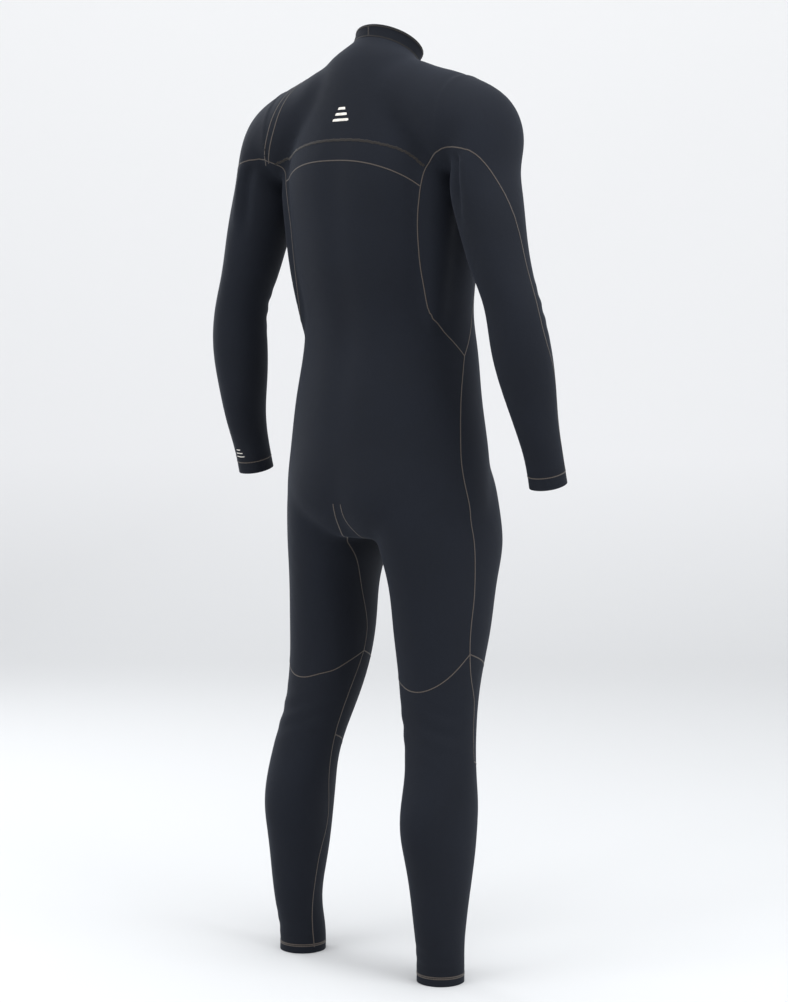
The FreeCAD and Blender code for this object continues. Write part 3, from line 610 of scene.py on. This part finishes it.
def moulded(name, colour, rough, metal, scale, relief_size, sheen=0.0):
    """Moulded or coated part: a fine noise roughens it, and a slower one shades it."""
    material, tree, shader = new_material(name)
    link = tree.links.new
    where = node(tree, "ShaderNodeTexCoord").outputs["Object"]
    fine = node(tree, "ShaderNodeTexNoise", Scale=scale, Detail=3.0)
    slow = node(tree, "ShaderNodeTexNoise", Scale=scale / 9, Detail=2.0)
    link(where, fine.inputs["Vector"])
    link(where, slow.inputs["Vector"])
    bump = node(tree, "ShaderNodeBump", Strength=0.3, Distance=relief_size)
    link(fine.outputs["Fac"], bump.inputs["Height"])
    link(bump.outputs[0], shader.inputs["Normal"])
    c = np.array(colour)
    link(ramp(tree, slow.outputs["Fac"], ((0.3, c * 0.8), (0.7, c * 1.25))), shader.inputs["Base Color"])
    worn = node(tree, "ShaderNodeMapRange")
    link(slow.outputs["Fac"], worn.inputs["Value"])
    worn.inputs["To Min"].default_value, worn.inputs["To Max"].default_value = rough - 0.08, rough + 0.1
    link(worn.outputs["Result"], shader.inputs["Roughness"])
    shader.inputs["Metallic"].default_value = metal
    shader.inputs["Sheen Weight"].default_value = sheen
    return material


def material(name):
    """The suit's finishes by name, made once."""
    found = bpy.data.materials.get(name)
    if found:
        return found
    s = suit()
    body = tuple(s.body_colour)
    if name == "body_jersey":
        return jersey(name, body, 0.045)
    if name == "cuff_jersey":
        return jersey(name, tuple(c * 0.92 for c in body), 0.04, knit=1.2)
    if name == "collar_jersey":
        return jersey(name, tuple(c * 0.72 for c in body), 0.03, rough=0.85, knit=1.3)
    if name == "seam_thread":
        return thread(name, (0.0022, 0.0024, 0.003), tuple(s.thread_colour), 2.6 * MM,
                ((0.0, 1), (0.22, 1), (0.34, 0), (0.6, 0)))
    if name == "dark_thread":
        return thread(name, (0.002, 0.0022, 0.0026), tuple(c * 0.4 for c in s.thread_colour), 3.2 * MM,
                      ((0.0, 0), (0.12, 0.1), (0.3, 1), (0.55, 0.8), (0.75, 0)))
    if name == "smooth_skin":
        return moulded(name, (0.008, 0.008, 0.009), 0.42, 0.0, 900.0, 0.00008)
    if name == "zip_weave":
        return jersey(name, (0.008, 0.009, 0.011), 0.1, rough=0.85, knit=1.5)
    if name == "zip_plastic":
        return moulded(name, (0.012, 0.012, 0.013), 0.4, 0.0, 1200.0, 0.00005)
    if name == "zip_metal":
        return moulded(name, (0.04, 0.04, 0.044), 0.35, 0.85, 1500.0, 0.00004)
    if name == "tab_rubber":
        return moulded(name, (0.014, 0.014, 0.016), 0.55, 0.0, 1100.0, 0.0001)
    if name == "brushed_lining":
        return jersey(name, (0.03, 0.034, 0.042), 0.5, rough=0.9, knit=0.6)
    if name == "print_ink":
        return moulded(name, (0.74, 0.70, 0.64), 0.6, 0.0, 1400.0, 0.00008)
    raise ValueError(name)


# ---------------------------------------------------------------- pieces

BODY_OF = {"torso": "torso", "thigh": "{}_thigh", "shin": "{}_shin", "ankle": "{}_shin",
           "upper_arm": "{}_upper_arm", "forearm": "{}_forearm", "wrist": "{}_forearm"}


def follow(obj, zone, side):
    """Rides a piece on the body of its zone; a piece in a zone over a joint gets its place baked into its points
    and stays where it stands.
    """
    if zone in BODY_OF:
        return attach(obj, BODY_OF[zone].format(side))
    if zone == "hip":
        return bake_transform(obj)
    if zone == "knee":
        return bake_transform(obj)
    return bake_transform(obj)


STANDS_FOR = {
    "torso": ("shoulder_yoke", "back_band", "back_panel", "chest_yoke", "front_panel",
              "left_underarm_panel", "right_underarm_panel", "crotch_gusset"),
    "hip": ("{}_hip_panel",), "thigh": ("{}_thigh_back", "{}_thigh_front"),
    "knee": ("{}_knee_pad", "{}_knee_back_panel"), "shin": ("{}_calf_back", "{}_shin_front"),
    "ankle": ("{}_ankle_cuff",), "upper_arm": ("{}_sleeve_back", "{}_sleeve_front"),
    "elbow": ("{}_elbow_panel",), "forearm": ("{}_forearm_back", "{}_forearm_front"),
    "wrist": ("{}_wrist_cuff",),
}
FINISH = {"ankle": ("cuff_jersey", "neoprene_cuff"), "wrist": ("cuff_jersey", "neoprene_cuff")}


class WETSUIT_OT_skin(bpy.types.Operator):
    """Body, hips, legs and sleeves: the filled form cut into pieces where the suit bends."""
    bl_idname = "wetsuit.skin"
    bl_label = "Skin"

    def execute(self, context):
        skin = Skin.get()
        for number, zone in enumerate(ZONES):
            for side, sign in (SIDES if zone != "torso" else (("", 0),)):
                chosen = (skin.zone == number) & ((skin.side == sign) | (sign == 0))
                if not chosen.any():
                    raise RuntimeError(f"no face in {side} {zone}")
                finish, slot = FINISH.get(zone, ("body_jersey", "neoprene_body"))
                name = "_".join(w for w in (side, zone, "skin") if w)
                piece = shell(name, chosen, suit().wall, material(finish))
                follow(piece, zone, side)
                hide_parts(*(n.format(side) for n in STANDS_FOR[zone]))
        return {"FINISHED"}


def onto(points, tree):
    """Nearest places on a surface, with the surface's outward directions there."""
    found = [tree.find_nearest(Vector(p)) for p in points]
    return np.array([tuple(f[0]) for f in found]), np.array([tuple(f[1]) for f in found])


def along_skin(points, tree, step, closed=False):
    """A path laid on a surface: a natural cubic curve through the points, dropped to the nearest
    places, walked off at an even step; gives places, outward and sideways directions and lengths."""
    points = np.asarray(points, float) * MM
    if closed:
        points = np.concatenate((points[-3:], points, points[:4]))
    knots = np.concatenate(([0], np.cumsum(np.linalg.norm(np.diff(points, axis=0), axis=1))))
    low, high = (knots[3], knots[-4]) if closed else (0, knots[-1])
    fine = spline(knots, points, np.linspace(low, high, int((high - low) / 0.004) + 2))
    laid, _ = onto(fine, tree)
    far = np.concatenate(([0], np.cumsum(np.linalg.norm(np.diff(laid, axis=0), axis=1))))
    at = np.linspace(0, far[-1], max(int(far[-1] / step), 4) + 1)
    spots, out = onto(spline(far, laid, at), tree)
    kernel = np.ones(7) / 7
    pad = np.concatenate((np.repeat(out[:1], 3, 0), out, np.repeat(out[-1:], 3, 0)))
    out = unit(np.stack([np.convolve(pad[:, k], kernel, "valid") for k in range(3)], 1))
    ahead = unit(np.gradient(spots, axis=0))
    return spots, out, unit(np.cross(ahead, out)), at


def ribbon(spots, out, across, at, width, rise, pitch, wander=0.0):
    """A flat seam as a strip: at each place on the path, a low arch of seven points across it whose
    height swells and sinks with the stitches, the outermost just under the skin."""
    v = np.linspace(-1, 1, RIBBON_POINTS)
    beat = 0.78 + 0.22 * np.sin(2 * math.pi * at / pitch)
    arch = np.where(np.abs(v) > 0.99, -0.35, (1 - v ** 2) ** 0.6)
    sway = wander * (np.sin(at * 900) + 0.6 * np.sin(at * 391 + 1) + 0.5 * np.sin(at * 1733 + 2))
    lift = rise * arch * np.where(np.abs(v) > 0.99, 1, beat[:, None])
    side = v * width / 2 + sway[:, None]
    verts = spots[:, None] + across[:, None] * side[..., None] + out[:, None] * lift[..., None]
    uv = np.stack(np.broadcast_arrays(at[:, None], v * width / 2), -1)
    return verts, uv


def mirrored(points, sign):
    return [(x * sign, y, z) for x, y, z in points]


# Seams in millimetres on the wearer's left; "both" ones are repeated on the right.
SEAMS = (
    ("rough", "once", ((-139, 84, -193), (-125, 91, -179), (-85, 109, -161), (-48, 120, -153),
        (-11, 124, -150),
                       (40, 122, -151), (85, 109, -158), (123, 92, -168), (148, 87, -175),
                           (160, 88, -179))),
    ("fine", "once", ((-132, 82, -222), (-110, 99, -206), (-87, 112, -195), (-50, 124, -185),
        (-14, 128, -181),
                      (35, 124, -181), (84, 112, -188), (120, 98, -199), (140, 87, -204))),
    ("fine", "left", ((128, 58, -52), (140, 78, -66), (150, 94, -92), (160, 99, -125), (172, 97, -155),
        (181, 88, -180))),
    ("fine", "left", ((116, 58, -48), (128, 80, -62), (138, 98, -92), (148, 103, -125), (160, 101, -152),
        (172, 92, -178))),
    ("fine", "both", ((152, 3, -475), (147, 21, -455), (134, 44, -428), (128, 58, -400), (127, 64, -376),
        (126, 73, -346),
                      (126, 79, -316), (128, 84, -266), (133, 81, -222), (142, 84, -196), (160, 92, -180),
                          (182, 97, -172),
                      (205, 97, -169), (228, 88, -176), (247, 76, -195), (262, 62, -225), (273, 50, -262),
                          (286, 42, -310),
                      (307, 40, -370), (320, 41, -410), (326, 34, -450), (327, 12, -500), (325, -2, -560),
                          (324, -14, -610),
                      (325, -26, -655))),
    ("fine", "both", ((152, 3, -475), (150, -14, -448), (146, -28, -420), (142, -40, -380),
        (140, -48, -330), (142, -52, -280),
                      (150, -50, -235), (162, -44, -208), (176, -38, -196), (198, -34, -196))),
    ("fine", "both", ((152, 3, -475), (156, 12, -508), (160, 20, -541), (165, 28, -601), (169, 30, -636),
        (175, 22, -691),
                      (178, 11, -748), (179, 9, -792), (179, 10, -841), (178, 17, -889), (178, 19, -933),
                          (178, 14, -975),
                      (178, 8, -1000), (179, 12, -1040), (182, 22, -1090))),
    ("fine", "both", ((177, 19, -928), (172, 40, -948), (153, 63, -972), (128, 76, -984), (105, 76, -984),
        (85, 69, -978),
                      (68, 56, -972), (56, 34, -958), (50, 6, -944))),
    ("fine", "both", ((50, 6, -944), (52, -28, -958), (70, -50, -968), (110, -58, -975), (150, -44, -962),
        (172, -10, -940),
                      (177, 19, -928))),
    ("fine", "both", ((64, 40, -1082), (66, 6, -1096), (84, -16, -1108), (125, -26, -1114),
        (165, -10, -1106), (184, 22, -1092))),
    ("fine", "both", ((8, 116, -700), (12, 104, -735), (28, 62, -768), (36, 36, -795), (40, 23, -823),
        (42, 11, -858),
                      (45, 0, -906), (50, 6, -944))),
    ("fine", "both", ((50, 6, -944), (56, 22, -990), (66, 36, -1046), (80, 42, -1100), (91, 40, -1160),
        (99, 36, -1221),
                      (101, 51, -1270), (106, 56, -1319), (111, 59, -1361), (108, 60, -1404),
                          (107, 58, -1425))),
    ("fine", "both", ((8, -122, -700), (12, -100, -742), (26, -62, -772), (36, -34, -795))),
    ("fine", "both", ((232, -18, -240), (246, -8, -300), (262, 0, -350), (276, 0, -400), (280, -8, -460),
        (284, -18, -520),
                      (290, -28, -580), (296, -36, -632), (296, -44, -656))),
    ("fine", "once", ((-150, -32, -184), (-120, -72, -184), (-80, -92, -184), (-40, -101, -184),
        (0, -104, -184), (40, -101, -184),
                      (80, -92, -184), (120, -72, -184), (150, -32, -184))),
    ("fine", "once", ((-150, -30, -156), (-120, -70, -156), (-80, -90, -156), (-40, -99, -156),
        (0, -102, -156), (40, -99, -156),
                      (80, -90, -156), (120, -70, -156), (150, -30, -156))),
)
KINDS = {"fine": (2.8 * MM, 0.42 * MM, 2.2 * MM, 0.0, "seam_thread"),
        "rough": (4.6 * MM, 0.65 * MM, 3.4 * MM, 0.55 * MM, "dark_thread")}


def ring_path(centre, axis, radius, count=16):
    """Points of a circle about an axis, in millimetres."""
    axis = unit(np.asarray(axis, float))
    first = unit(np.cross(axis, (0, 1, 0)))
    second = np.cross(axis, first)
    turn = np.linspace(0, 2 * math.pi, count, endpoint=False)[:, None]
    return np.asarray(centre) + radius * (np.cos(turn) * first + np.sin(turn) * second)


def seam_paths():
    """Every seam as kind, points and whether it closes on itself."""
    for kind, sides, points in SEAMS:
        if sides in ("once", "left", "both"):
            yield kind, points, False
        if sides == "both":
            yield kind, mirrored(points, -1), False
    for _, sign in SIDES:
        flip = np.array((sign, 1, 1))
        yield "fine", ring_path((WRIST_HEAD * flip + WRIST_AXIS * 11 * MM) / MM, WRIST_AXIS, 29), True
        yield "fine", ring_path((143 * sign, 46, (ANKLE_HEAD - CUFF) / MM + 14), (0, 0, 1), 37), True
        yield "fine", ring_path((143 * sign, 46, (ANKLE_HEAD - CUFF) / MM + 11.5), (0, 0, 1), 37), True


class WETSUIT_OT_seams(bpy.types.Operator):
    """Flat seams along every join, laid on the skin and cut where the suit bends."""
    bl_idname = "wetsuit.seams"
    bl_label = "Seams"

    def execute(self, context):
        skin = Skin.get()
        parts = {}
        for kind, points, closed in seam_paths():
            width, rise, pitch, wander, finish = KINDS[kind]
            spots, out, across, at = along_skin(points, skin.tree, 1.1 * MM, closed)
            verts, uv = ribbon(spots, out, across, at, width, rise, pitch, wander)
            rows = len(spots)
            middle = (spots[:-1] + spots[1:]) / 2
            zone, side = zone_of(middle), np.sign(middle[:, 0])
            quads = grid_faces(rows, RIBBON_POINTS, False).reshape(rows - 1, RIBBON_POINTS - 1, 4)
            for number in np.unique(zone):
                for sign in ((0,) if number == 0 else (1.0, -1.0)):
                    rows_in = (zone == number) & ((side == sign) | (sign == 0))
                    if rows_in.any():
                        parts.setdefault((ZONES[number], sign, finish), []).append(
                            (verts.reshape(-1, 3), uv.reshape(-1, 2), quads[rows_in].reshape(-1, 4)))
        for (zone, sign, finish), found in parts.items():
            side = {0: "", 1.0: "left", -1.0: "right"}[sign]
            verts, uvs, faces, base = [], [], [], 0
            for v, u, f in found:
                used, fresh = np.unique(f, return_inverse=True)
                verts.append(v[used])
                uvs.append(u[used])
                faces.append(fresh.reshape(-1, 4) + base)
                base += len(used)
            name = "_".join(w for w in (side, zone,
                    "rough_seams" if finish == "dark_thread" else "seams") if w)
            piece = place_mesh(name, np.concatenate(verts), np.concatenate(faces), material(finish),
                    uv=np.concatenate(uvs))
            follow(piece, zone, side)
        return {"FINISHED"}


def turned_ring(profile, start, end, count, axis, centre=(0, 0, 0)):
    """A closed profile of radius and height carried round an axis from one angle to another, with
    both ends capped when the turn isn't whole."""
    profile = np.asarray(profile, float) * MM
    axis = unit(np.asarray(axis, float))
    first = np.array((1.0, 0, 0))
    second = np.cross(axis, first)
    turn = np.linspace(start, end, count)
    spoke = np.cos(turn)[:, None] * first + np.sin(turn)[:, None] * second
    verts = np.asarray(centre) + spoke[:, None] * profile[None, :, :1] + axis * profile[None, :, 1:]
    n = len(profile)
    faces = grid_faces(count, n, True).tolist()
    faces += [list(range(n))[::-1], [(count - 1) * n + k for k in range(n)]]
    return verts.reshape(-1, 3), faces


def outward(obj):
    """Turns every face of a closed piece outwards and keeps hard edges where its ends are capped."""
    bm = bmesh.new()
    bm.from_mesh(obj.data)
    bmesh.ops.recalc_face_normals(bm, faces=bm.faces)
    for edge in bm.edges:
        edge.smooth = not edge.is_manifold or edge.calc_face_angle(0) < 0.7
    bm.to_mesh(obj.data)
    bm.free()
    return obj


def lip(radius, wall, low, high, lean_in, points=7):
    """Profile of a standing band: outer face, a rolled top edge and inner face, in millimetres."""
    turn = np.linspace(0, math.pi, points)
    outer = [(radius, low), (radius - 0.25 * lean_in - 0.5, low * 0.4),
            (radius - 0.6 * lean_in - 0.5, high * 0.45), (radius - lean_in, high - wall / 2)]
    roll = [(radius - lean_in - wall / 2 + wall / 2 * math.cos(t),
            high - wall / 2 + wall / 2 * math.sin(t)) for t in turn[1:]]
    inner = [(radius - lean_in - wall, high * 0.4), (radius - wall, low)]
    return outer + roll + inner


class WETSUIT_OT_collar(bpy.types.Operator):
    """Stand-up collar in two halves with a rolled rim, the smooth seal inside it and its seams."""
    bl_idname = "wetsuit.collar"
    bl_label = "Collar"

    def execute(self, context):
        profile = lip(53.5, 3.0, -17.0, 7.0, -1.2)
        for name, start, end in (("back", 0, math.pi), ("front", -math.pi, 0)):
            verts, faces = turned_ring(profile, start, end, 97, COLLAR_AXIS)
            half = outward(place_mesh(f"collar_{name}_band", verts, faces, material("collar_jersey")))
            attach(half, "torso")
            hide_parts(f"collar_{name}")
        verts, faces = turned_ring(lip(49.9, 2.0, -12.0, 5.0, 0.0), 0, 2 * math.pi, 193, COLLAR_AXIS)
        seal = outward(place_mesh("neck_seal_lining", verts, faces, material("smooth_skin")))
        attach(seal, "torso")
        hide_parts("neck_seal")
        second = np.cross(COLLAR_AXIS, (1, 0, 0))

        def on_band(turn, height, radius):
            return COLLAR_AXIS * height + radius * (math.cos(turn) * np.array((1, 0,
                    0)) + math.sin(turn) * second)

        wall_of = lambda h: 53.15 + (h + 17) / 24 * 1.3
        paths = [[on_band(math.pi / 2 + 0.10 - 0.0065 * (h + 15), h, wall_of(h)) for h in np.linspace(-14,
                5.6, 24)]]
        paths += [[on_band(t, 4.0, wall_of(4.0)) for t in np.linspace(0, 2 * math.pi, 160)]]
        paths += [[on_band(t, -13.6, 53.3) for t in np.linspace(0, 2 * math.pi, 160)]]
        verts, uvs, faces, base = [], [], [], 0
        for path in paths:
            path = np.array(path) * MM
            out = unit(path - COLLAR_AXIS * (path @ COLLAR_AXIS)[:, None])
            ahead = unit(np.gradient(path, axis=0))
            at = np.concatenate(([0], np.cumsum(np.linalg.norm(np.diff(path, axis=0), axis=1))))
            v, uv = ribbon(path, out, unit(np.cross(ahead, out)), at, 2.2 * MM, 0.4 * MM, 2.2 * MM)
            verts.append(v.reshape(-1, 3))
            uvs.append(uv.reshape(-1, 2))
            faces.append(grid_faces(len(path), RIBBON_POINTS, False) + base)
            base += v.size // 3
        piece = place_mesh("collar_seams", np.concatenate(verts), np.concatenate(faces),
                material("dark_thread"), uv=np.concatenate(uvs))
        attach(piece, "torso")
        return {"FINISHED"}


def patch(name, centre, right, up, outline, finish, lift, body):
    """A thin raised print: rows of a flat shape given by its left and right edge at each height,
    dropped onto the skin along the surface and lifted a little."""
    skin = Skin.get()
    rows = np.array([[np.linspace(l, r, PATCH_POINTS), np.full(PATCH_POINTS, h)] for l, r, h in outline])
    flat = np.asarray(centre) * MM + rows[:, 0, :, None] * MM * np.asarray(right) + rows[:, 1, :,
            None] * MM * np.asarray(up)
    spots, out = onto(flat.reshape(-1, 3), skin.tree)
    n = len(outline)
    rim = np.ones((n, PATCH_POINTS))
    rim[0], rim[-1], rim[:, 0], rim[:, -1] = 0, 0, 0, 0
    top = spots + out * (lift * np.where(rim.ravel() > 0, 1, -0.3))[:, None]
    piece = place_mesh(name, top, grid_faces(n, PATCH_POINTS, False), material(finish))
    faces = piece.data.polygons
    if sum(f.normal.dot(Vector(out[0])) for f in faces) < 0:
        piece.data.flip_normals()
    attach(piece, body)
    return piece


class WETSUIT_OT_marks(bpy.types.Operator):
    """Plain striped prints on the back and the left cuff, and three bar tacks on the left shoulder."""
    bl_idname = "wetsuit.marks"
    bl_label = "Marks"

    def execute(self, context):
        for k, (low, high, half) in enumerate(((-13, -8.5, 17), (-4, 0.5, 12.5), (5, 9.5, 8))):
            heights = np.linspace(low, high, 5)
            patch(f"back_stripe_{k + 1}", (-5, 118, -109), (-1, 0, 0), (0, 0, 1),
                  [(-half + 1.5 * (h - low) / 4.5, half - 1.5 * (h - low) / 4.5, h) for h in heights],
                      "print_ink", 0.22 * MM, "torso")
        lean = np.array((0, math.cos(WRIST_LEAN), -math.sin(WRIST_LEAN)))
        for k, (low, high, half) in enumerate(((-8, -6, 11), (-2, 0, 8), (4, 6, 5))):
            patch(f"cuff_stripe_{k + 1}", (303, 22, -638), (-1, 0, 0), -WRIST_AXIS,
                  [(-half, half, h) for h in np.linspace(low, high, 3)], "print_ink", 0.22 * MM,
                      "left_forearm")
        for k in range(3):
            patch(f"bar_tack_{k + 1}", (172 + 0.3 * k, 97 - 2.6 * k, -146 - 8 * k), (-0.9, 0.3, 0),
                    (0, 0, 1),
                  [(-2.6, 2.6, h) for h in np.linspace(-1.3, 1.3, 5)], "zip_weave", 1.1 * MM,
                  "left_upper_arm" if 172 + 0.3 * k > 170 else "torso")
        return {"FINISHED"}


def arc_band(name, radius, low, high, finish, thick=1.2 * MM):
    """A woven band bent round the zip's upright axis: a thin rounded section with a ribbed face
    carried along the arc."""
    v = np.linspace(0, 1, 15)
    level = low + (high - low) * v
    ribs = 0.12 * MM * np.sin(v * 2 * math.pi * 6)
    face = np.stack((radius + ribs, level), 1)
    back = np.stack((np.full(15, radius - thick), level[::-1]), 1)
    section = np.concatenate((face, back)) / MM
    verts, faces = turned_ring(section, -math.pi / 2 - ZIP_HALF, -math.pi / 2 + ZIP_HALF, 121, (0, 0, 1),
            (0, ZIP_CENTRE[1], ZIP_CENTRE[2]))
    return outward(place_mesh(name, verts, faces, material(finish)))


class WETSUIT_OT_zip(bpy.types.Operator):
    """Chest zip: woven tapes and the flap behind them, with finishes on the teeth, stops, slider and tab."""
    bl_idname = "wetsuit.zip"
    bl_label = "Zip"

    def execute(self, context):
        for name, low, high in (("upper", 0.1 * MM, SLOT_HALF), ("lower", -SLOT_HALF, -0.1 * MM)):
            band = arc_band(f"zip_tape_{name}_woven", ZIP_RADIUS - 0.2 * MM, low, high, "zip_weave")
            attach(band, "torso")
            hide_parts(f"zip_tape_{name}")
        skin = Skin.get()
        xs, zs = np.linspace(-0.130, 0.130, FLAP_COLUMNS), np.linspace(-0.203, -0.137, FLAP_ROWS)
        grid = np.stack(np.meshgrid(zs, xs, indexing="ij"), -1).reshape(-1, 2)
        hits = [skin.tree.ray_cast(Vector((x, -0.3, z)), Vector((0, 1, 0))) for z, x in grid]
        spots, out = np.array([tuple(h[0]) for h in hits]), np.array([tuple(h[1]) for h in hits])
        quads = grid_faces(FLAP_ROWS, FLAP_COLUMNS, False)
        n = len(spots)
        cell = np.arange(n).reshape(FLAP_ROWS, FLAP_COLUMNS)
        rim = np.concatenate((cell[0], cell[1:, -1], cell[-1, -2::-1], cell[-2:0:-1, 0]))
        strip = np.stack((rim, np.roll(rim, -1), np.roll(rim, -1) + n, rim + n), 1)
        verts = np.concatenate((spots - out * 8.2 * MM, spots - out * 9.6 * MM))
        flap = outward(place_mesh("zip_flap_lining", verts,
                np.concatenate((quads, quads[:, ::-1] + n, strip)), material("brushed_lining")))
        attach(flap, "torso")
        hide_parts("zip_backing_flap")
        for names, finish in ((("zip_teeth_upper", "zip_teeth_lower", "zip_stop_left", "zip_stop_right"),
                "zip_plastic"),
                              (("zip_slider",), "zip_metal"), (("zip_pull_tab",), "tab_rubber")):
            for name in names:
                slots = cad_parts[name].material_slots
                for slot in slots:
                    slot.material = material(finish)
        return {"FINISHED"}


class WETSUIT_OT_stage(bpy.types.Operator):
    """Pale floor that curves up into a backdrop, with painted shade making it darker on the floor and lighter up
    the backdrop, soft lights and the camera.
    """
    bl_idname = "wetsuit.stage"
    bl_label = "Stage"

    def execute(self, context):
        scene = context.scene
        away = np.linspace(0, 1, PAPER_ROWS)
        depth = np.where(away < 0.6, -9 + away / 0.6 * 12, 3 + 3 * np.sin((away - 0.6) / 0.4 * math.pi / 2))
        rise = np.where(away < 0.6, 0, 3 * (1 - np.cos((away - 0.6) / 0.4 * math.pi / 2)) * 2)
        wide = np.linspace(-9, 9, PAPER_COLUMNS)
        turn = math.radians(suit().camera_turn)
        look = np.array((math.sin(turn), -math.cos(turn)))
        cross = np.array((look[1], -look[0]))
        flat = depth[:, None, None] * look + wide[None, :, None] * cross
        verts = np.concatenate((flat, np.broadcast_to((FLOOR_LEVEL + rise)[:, None, None],
                (PAPER_ROWS, PAPER_COLUMNS, 1))), -1).reshape(-1, 3)
        made, tree, shader = new_material("paper")
        grain = node(tree, "ShaderNodeTexNoise", Scale=3.0, Detail=2.0)
        spot = node(tree, "ShaderNodeTexCoord").outputs["Object"]
        tree.links.new(spot, grain.inputs["Vector"])
        split = node(tree, "ShaderNodeSeparateXYZ")
        tree.links.new(spot, split.inputs["Vector"])
        # Painted shade: the paper's colour runs from darker on the floor to lighter up the backdrop, by height
        # alone.
        level = node(tree, "ShaderNodeMapRange")
        for socket, value in (("From Min", FLOOR_LEVEL), ("From Max", FLOOR_LEVEL + 2.2)):
            level.inputs[socket].default_value = value
        tree.links.new(split.outputs["Z"], level.inputs["Value"])
        tree.links.new(ramp(tree, level.outputs["Result"], ((0.0, (0.66, 0.665, 0.67)),
                (0.25, (0.80, 0.80, 0.805)), (1.0, (0.93, 0.93, 0.93)))), shader.inputs["Base Color"])
        shader.inputs["Roughness"].default_value = 0.9
        floor = place_mesh("floor", verts, grid_faces(PAPER_ROWS, PAPER_COLUMNS, False), made)
        world = bpy.data.worlds.new("studio")
        world.use_nodes = True
        world.node_tree.nodes["Background"].inputs["Color"].default_value = (0.97, 0.98, 1.0, 1)
        world.node_tree.nodes["Background"].inputs["Strength"].default_value = suit().room_light
        scene.world = world
        toward = -look
        for name, side, near, high, size, power in (
                ("key", 2.4, 1.9, 1.5, 2.0, 50), ("fill", -2.6, 1.6, 1.3, 2.0, 34),
                ("top", 0.2, 0.8, 2.7, 2.2, 46), ("rim", -1.9, -1.8, 1.1, 1.6, 26)):
            light = bpy.data.lights.new(name, "AREA")
            light.shape, light.size, light.energy, light.color = "SQUARE", size, power, (0.96, 0.98, 1)
            lamp = bpy.data.objects.new(name, light)
            scene.collection.objects.link(lamp)
            flat = toward * near + cross * side
            lamp.location = (flat[0], flat[1], high - 0.6)
            aim = Vector((0, 0, -0.65)) - lamp.location
            lamp.rotation_euler = aim.to_track_quat("-Z", "Y").to_euler()
        camera = bpy.data.cameras.new("camera")
        camera.sensor_width, camera.sensor_fit, camera.lens = 36, "AUTO", suit().lens
        eye = bpy.data.objects.new("camera", camera)
        scene.collection.objects.link(eye)
        eye.location = suit().camera_spot
        eye.rotation_euler = (math.radians(90 - suit().camera_dip), 0, turn + math.pi)
        scene.camera = eye
        scene.view_settings.view_transform = "Standard"
        return {"FINISHED"}


class WetsuitSettings(bpy.types.PropertyGroup):
    grain: bpy.props.FloatProperty(name="Grain", description="Width of the skin's faces", default=0.0052,
            unit="LENGTH", precision=4)
    wall: bpy.props.FloatProperty(name="Wall", description="Thickness of the rubber", default=0.003,
            unit="LENGTH", precision=4)
    body_colour: bpy.props.FloatVectorProperty(name="Body colour", description="Dye of the jersey",
            default=(0.0072, 0.0090, 0.0140), size=3, subtype="COLOR", min=0, max=1)
    thread_colour: bpy.props.FloatVectorProperty(name="Thread colour",
            description="Thread of the light seams", default=(0.11, 0.09, 0.078), size=3, subtype="COLOR",
            min=0, max=1)
    room_light: bpy.props.FloatProperty(name="Room light",
            description="Strength of the light from all around", default=0.88)
    camera_spot: bpy.props.FloatVectorProperty(name="Camera place", description="Where the camera stands",
            default=(-2.2742, 2.6972, -0.4250), size=3, subtype="TRANSLATION")
    camera_turn: bpy.props.FloatProperty(name="Camera turn",
            description="Turn of the view from straight ahead, in degrees", default=40.0)
    camera_dip: bpy.props.FloatProperty(name="Camera dip",
            description="Downward pitch of the view, in degrees", default=4.52)
    lens: bpy.props.FloatProperty(name="Lens", description="Focal length in millimetres on a 36 mm side",
            default=80.95)


class WETSUIT_PT_panel(bpy.types.Panel):
    """Buttons for the suit's pieces and the stage"""
    bl_label = "Wetsuit"
    bl_space_type = "VIEW_3D"
    bl_region_type = "UI"
    bl_category = "Wetsuit"

    def draw(self, context):
        for name in WetsuitSettings.__annotations__:
            self.layout.prop(suit(), name)
        for operator in OPERATORS:
            self.layout.operator(operator.bl_idname)


OPERATORS = (WETSUIT_OT_stage, WETSUIT_OT_skin, WETSUIT_OT_seams, WETSUIT_OT_collar, WETSUIT_OT_marks,
        WETSUIT_OT_zip)
CLASSES = (WetsuitSettings, *OPERATORS, WETSUIT_PT_panel)


def register():
    for cls in CLASSES:
        bpy.utils.register_class(cls)
    bpy.types.Scene.wetsuit = bpy.props.PointerProperty(type=WetsuitSettings)


def unregister():
    del bpy.types.Scene.wetsuit
    for cls in reversed(CLASSES):
        bpy.utils.unregister_class(cls)


def main():
    """Registers the classes and makes every piece in order."""
    register()
    for operator in OPERATORS:
        kind, name = operator.bl_idname.split(".")
        getattr(getattr(bpy.ops, kind), name)()


if __name__ == "__main__":
    main()
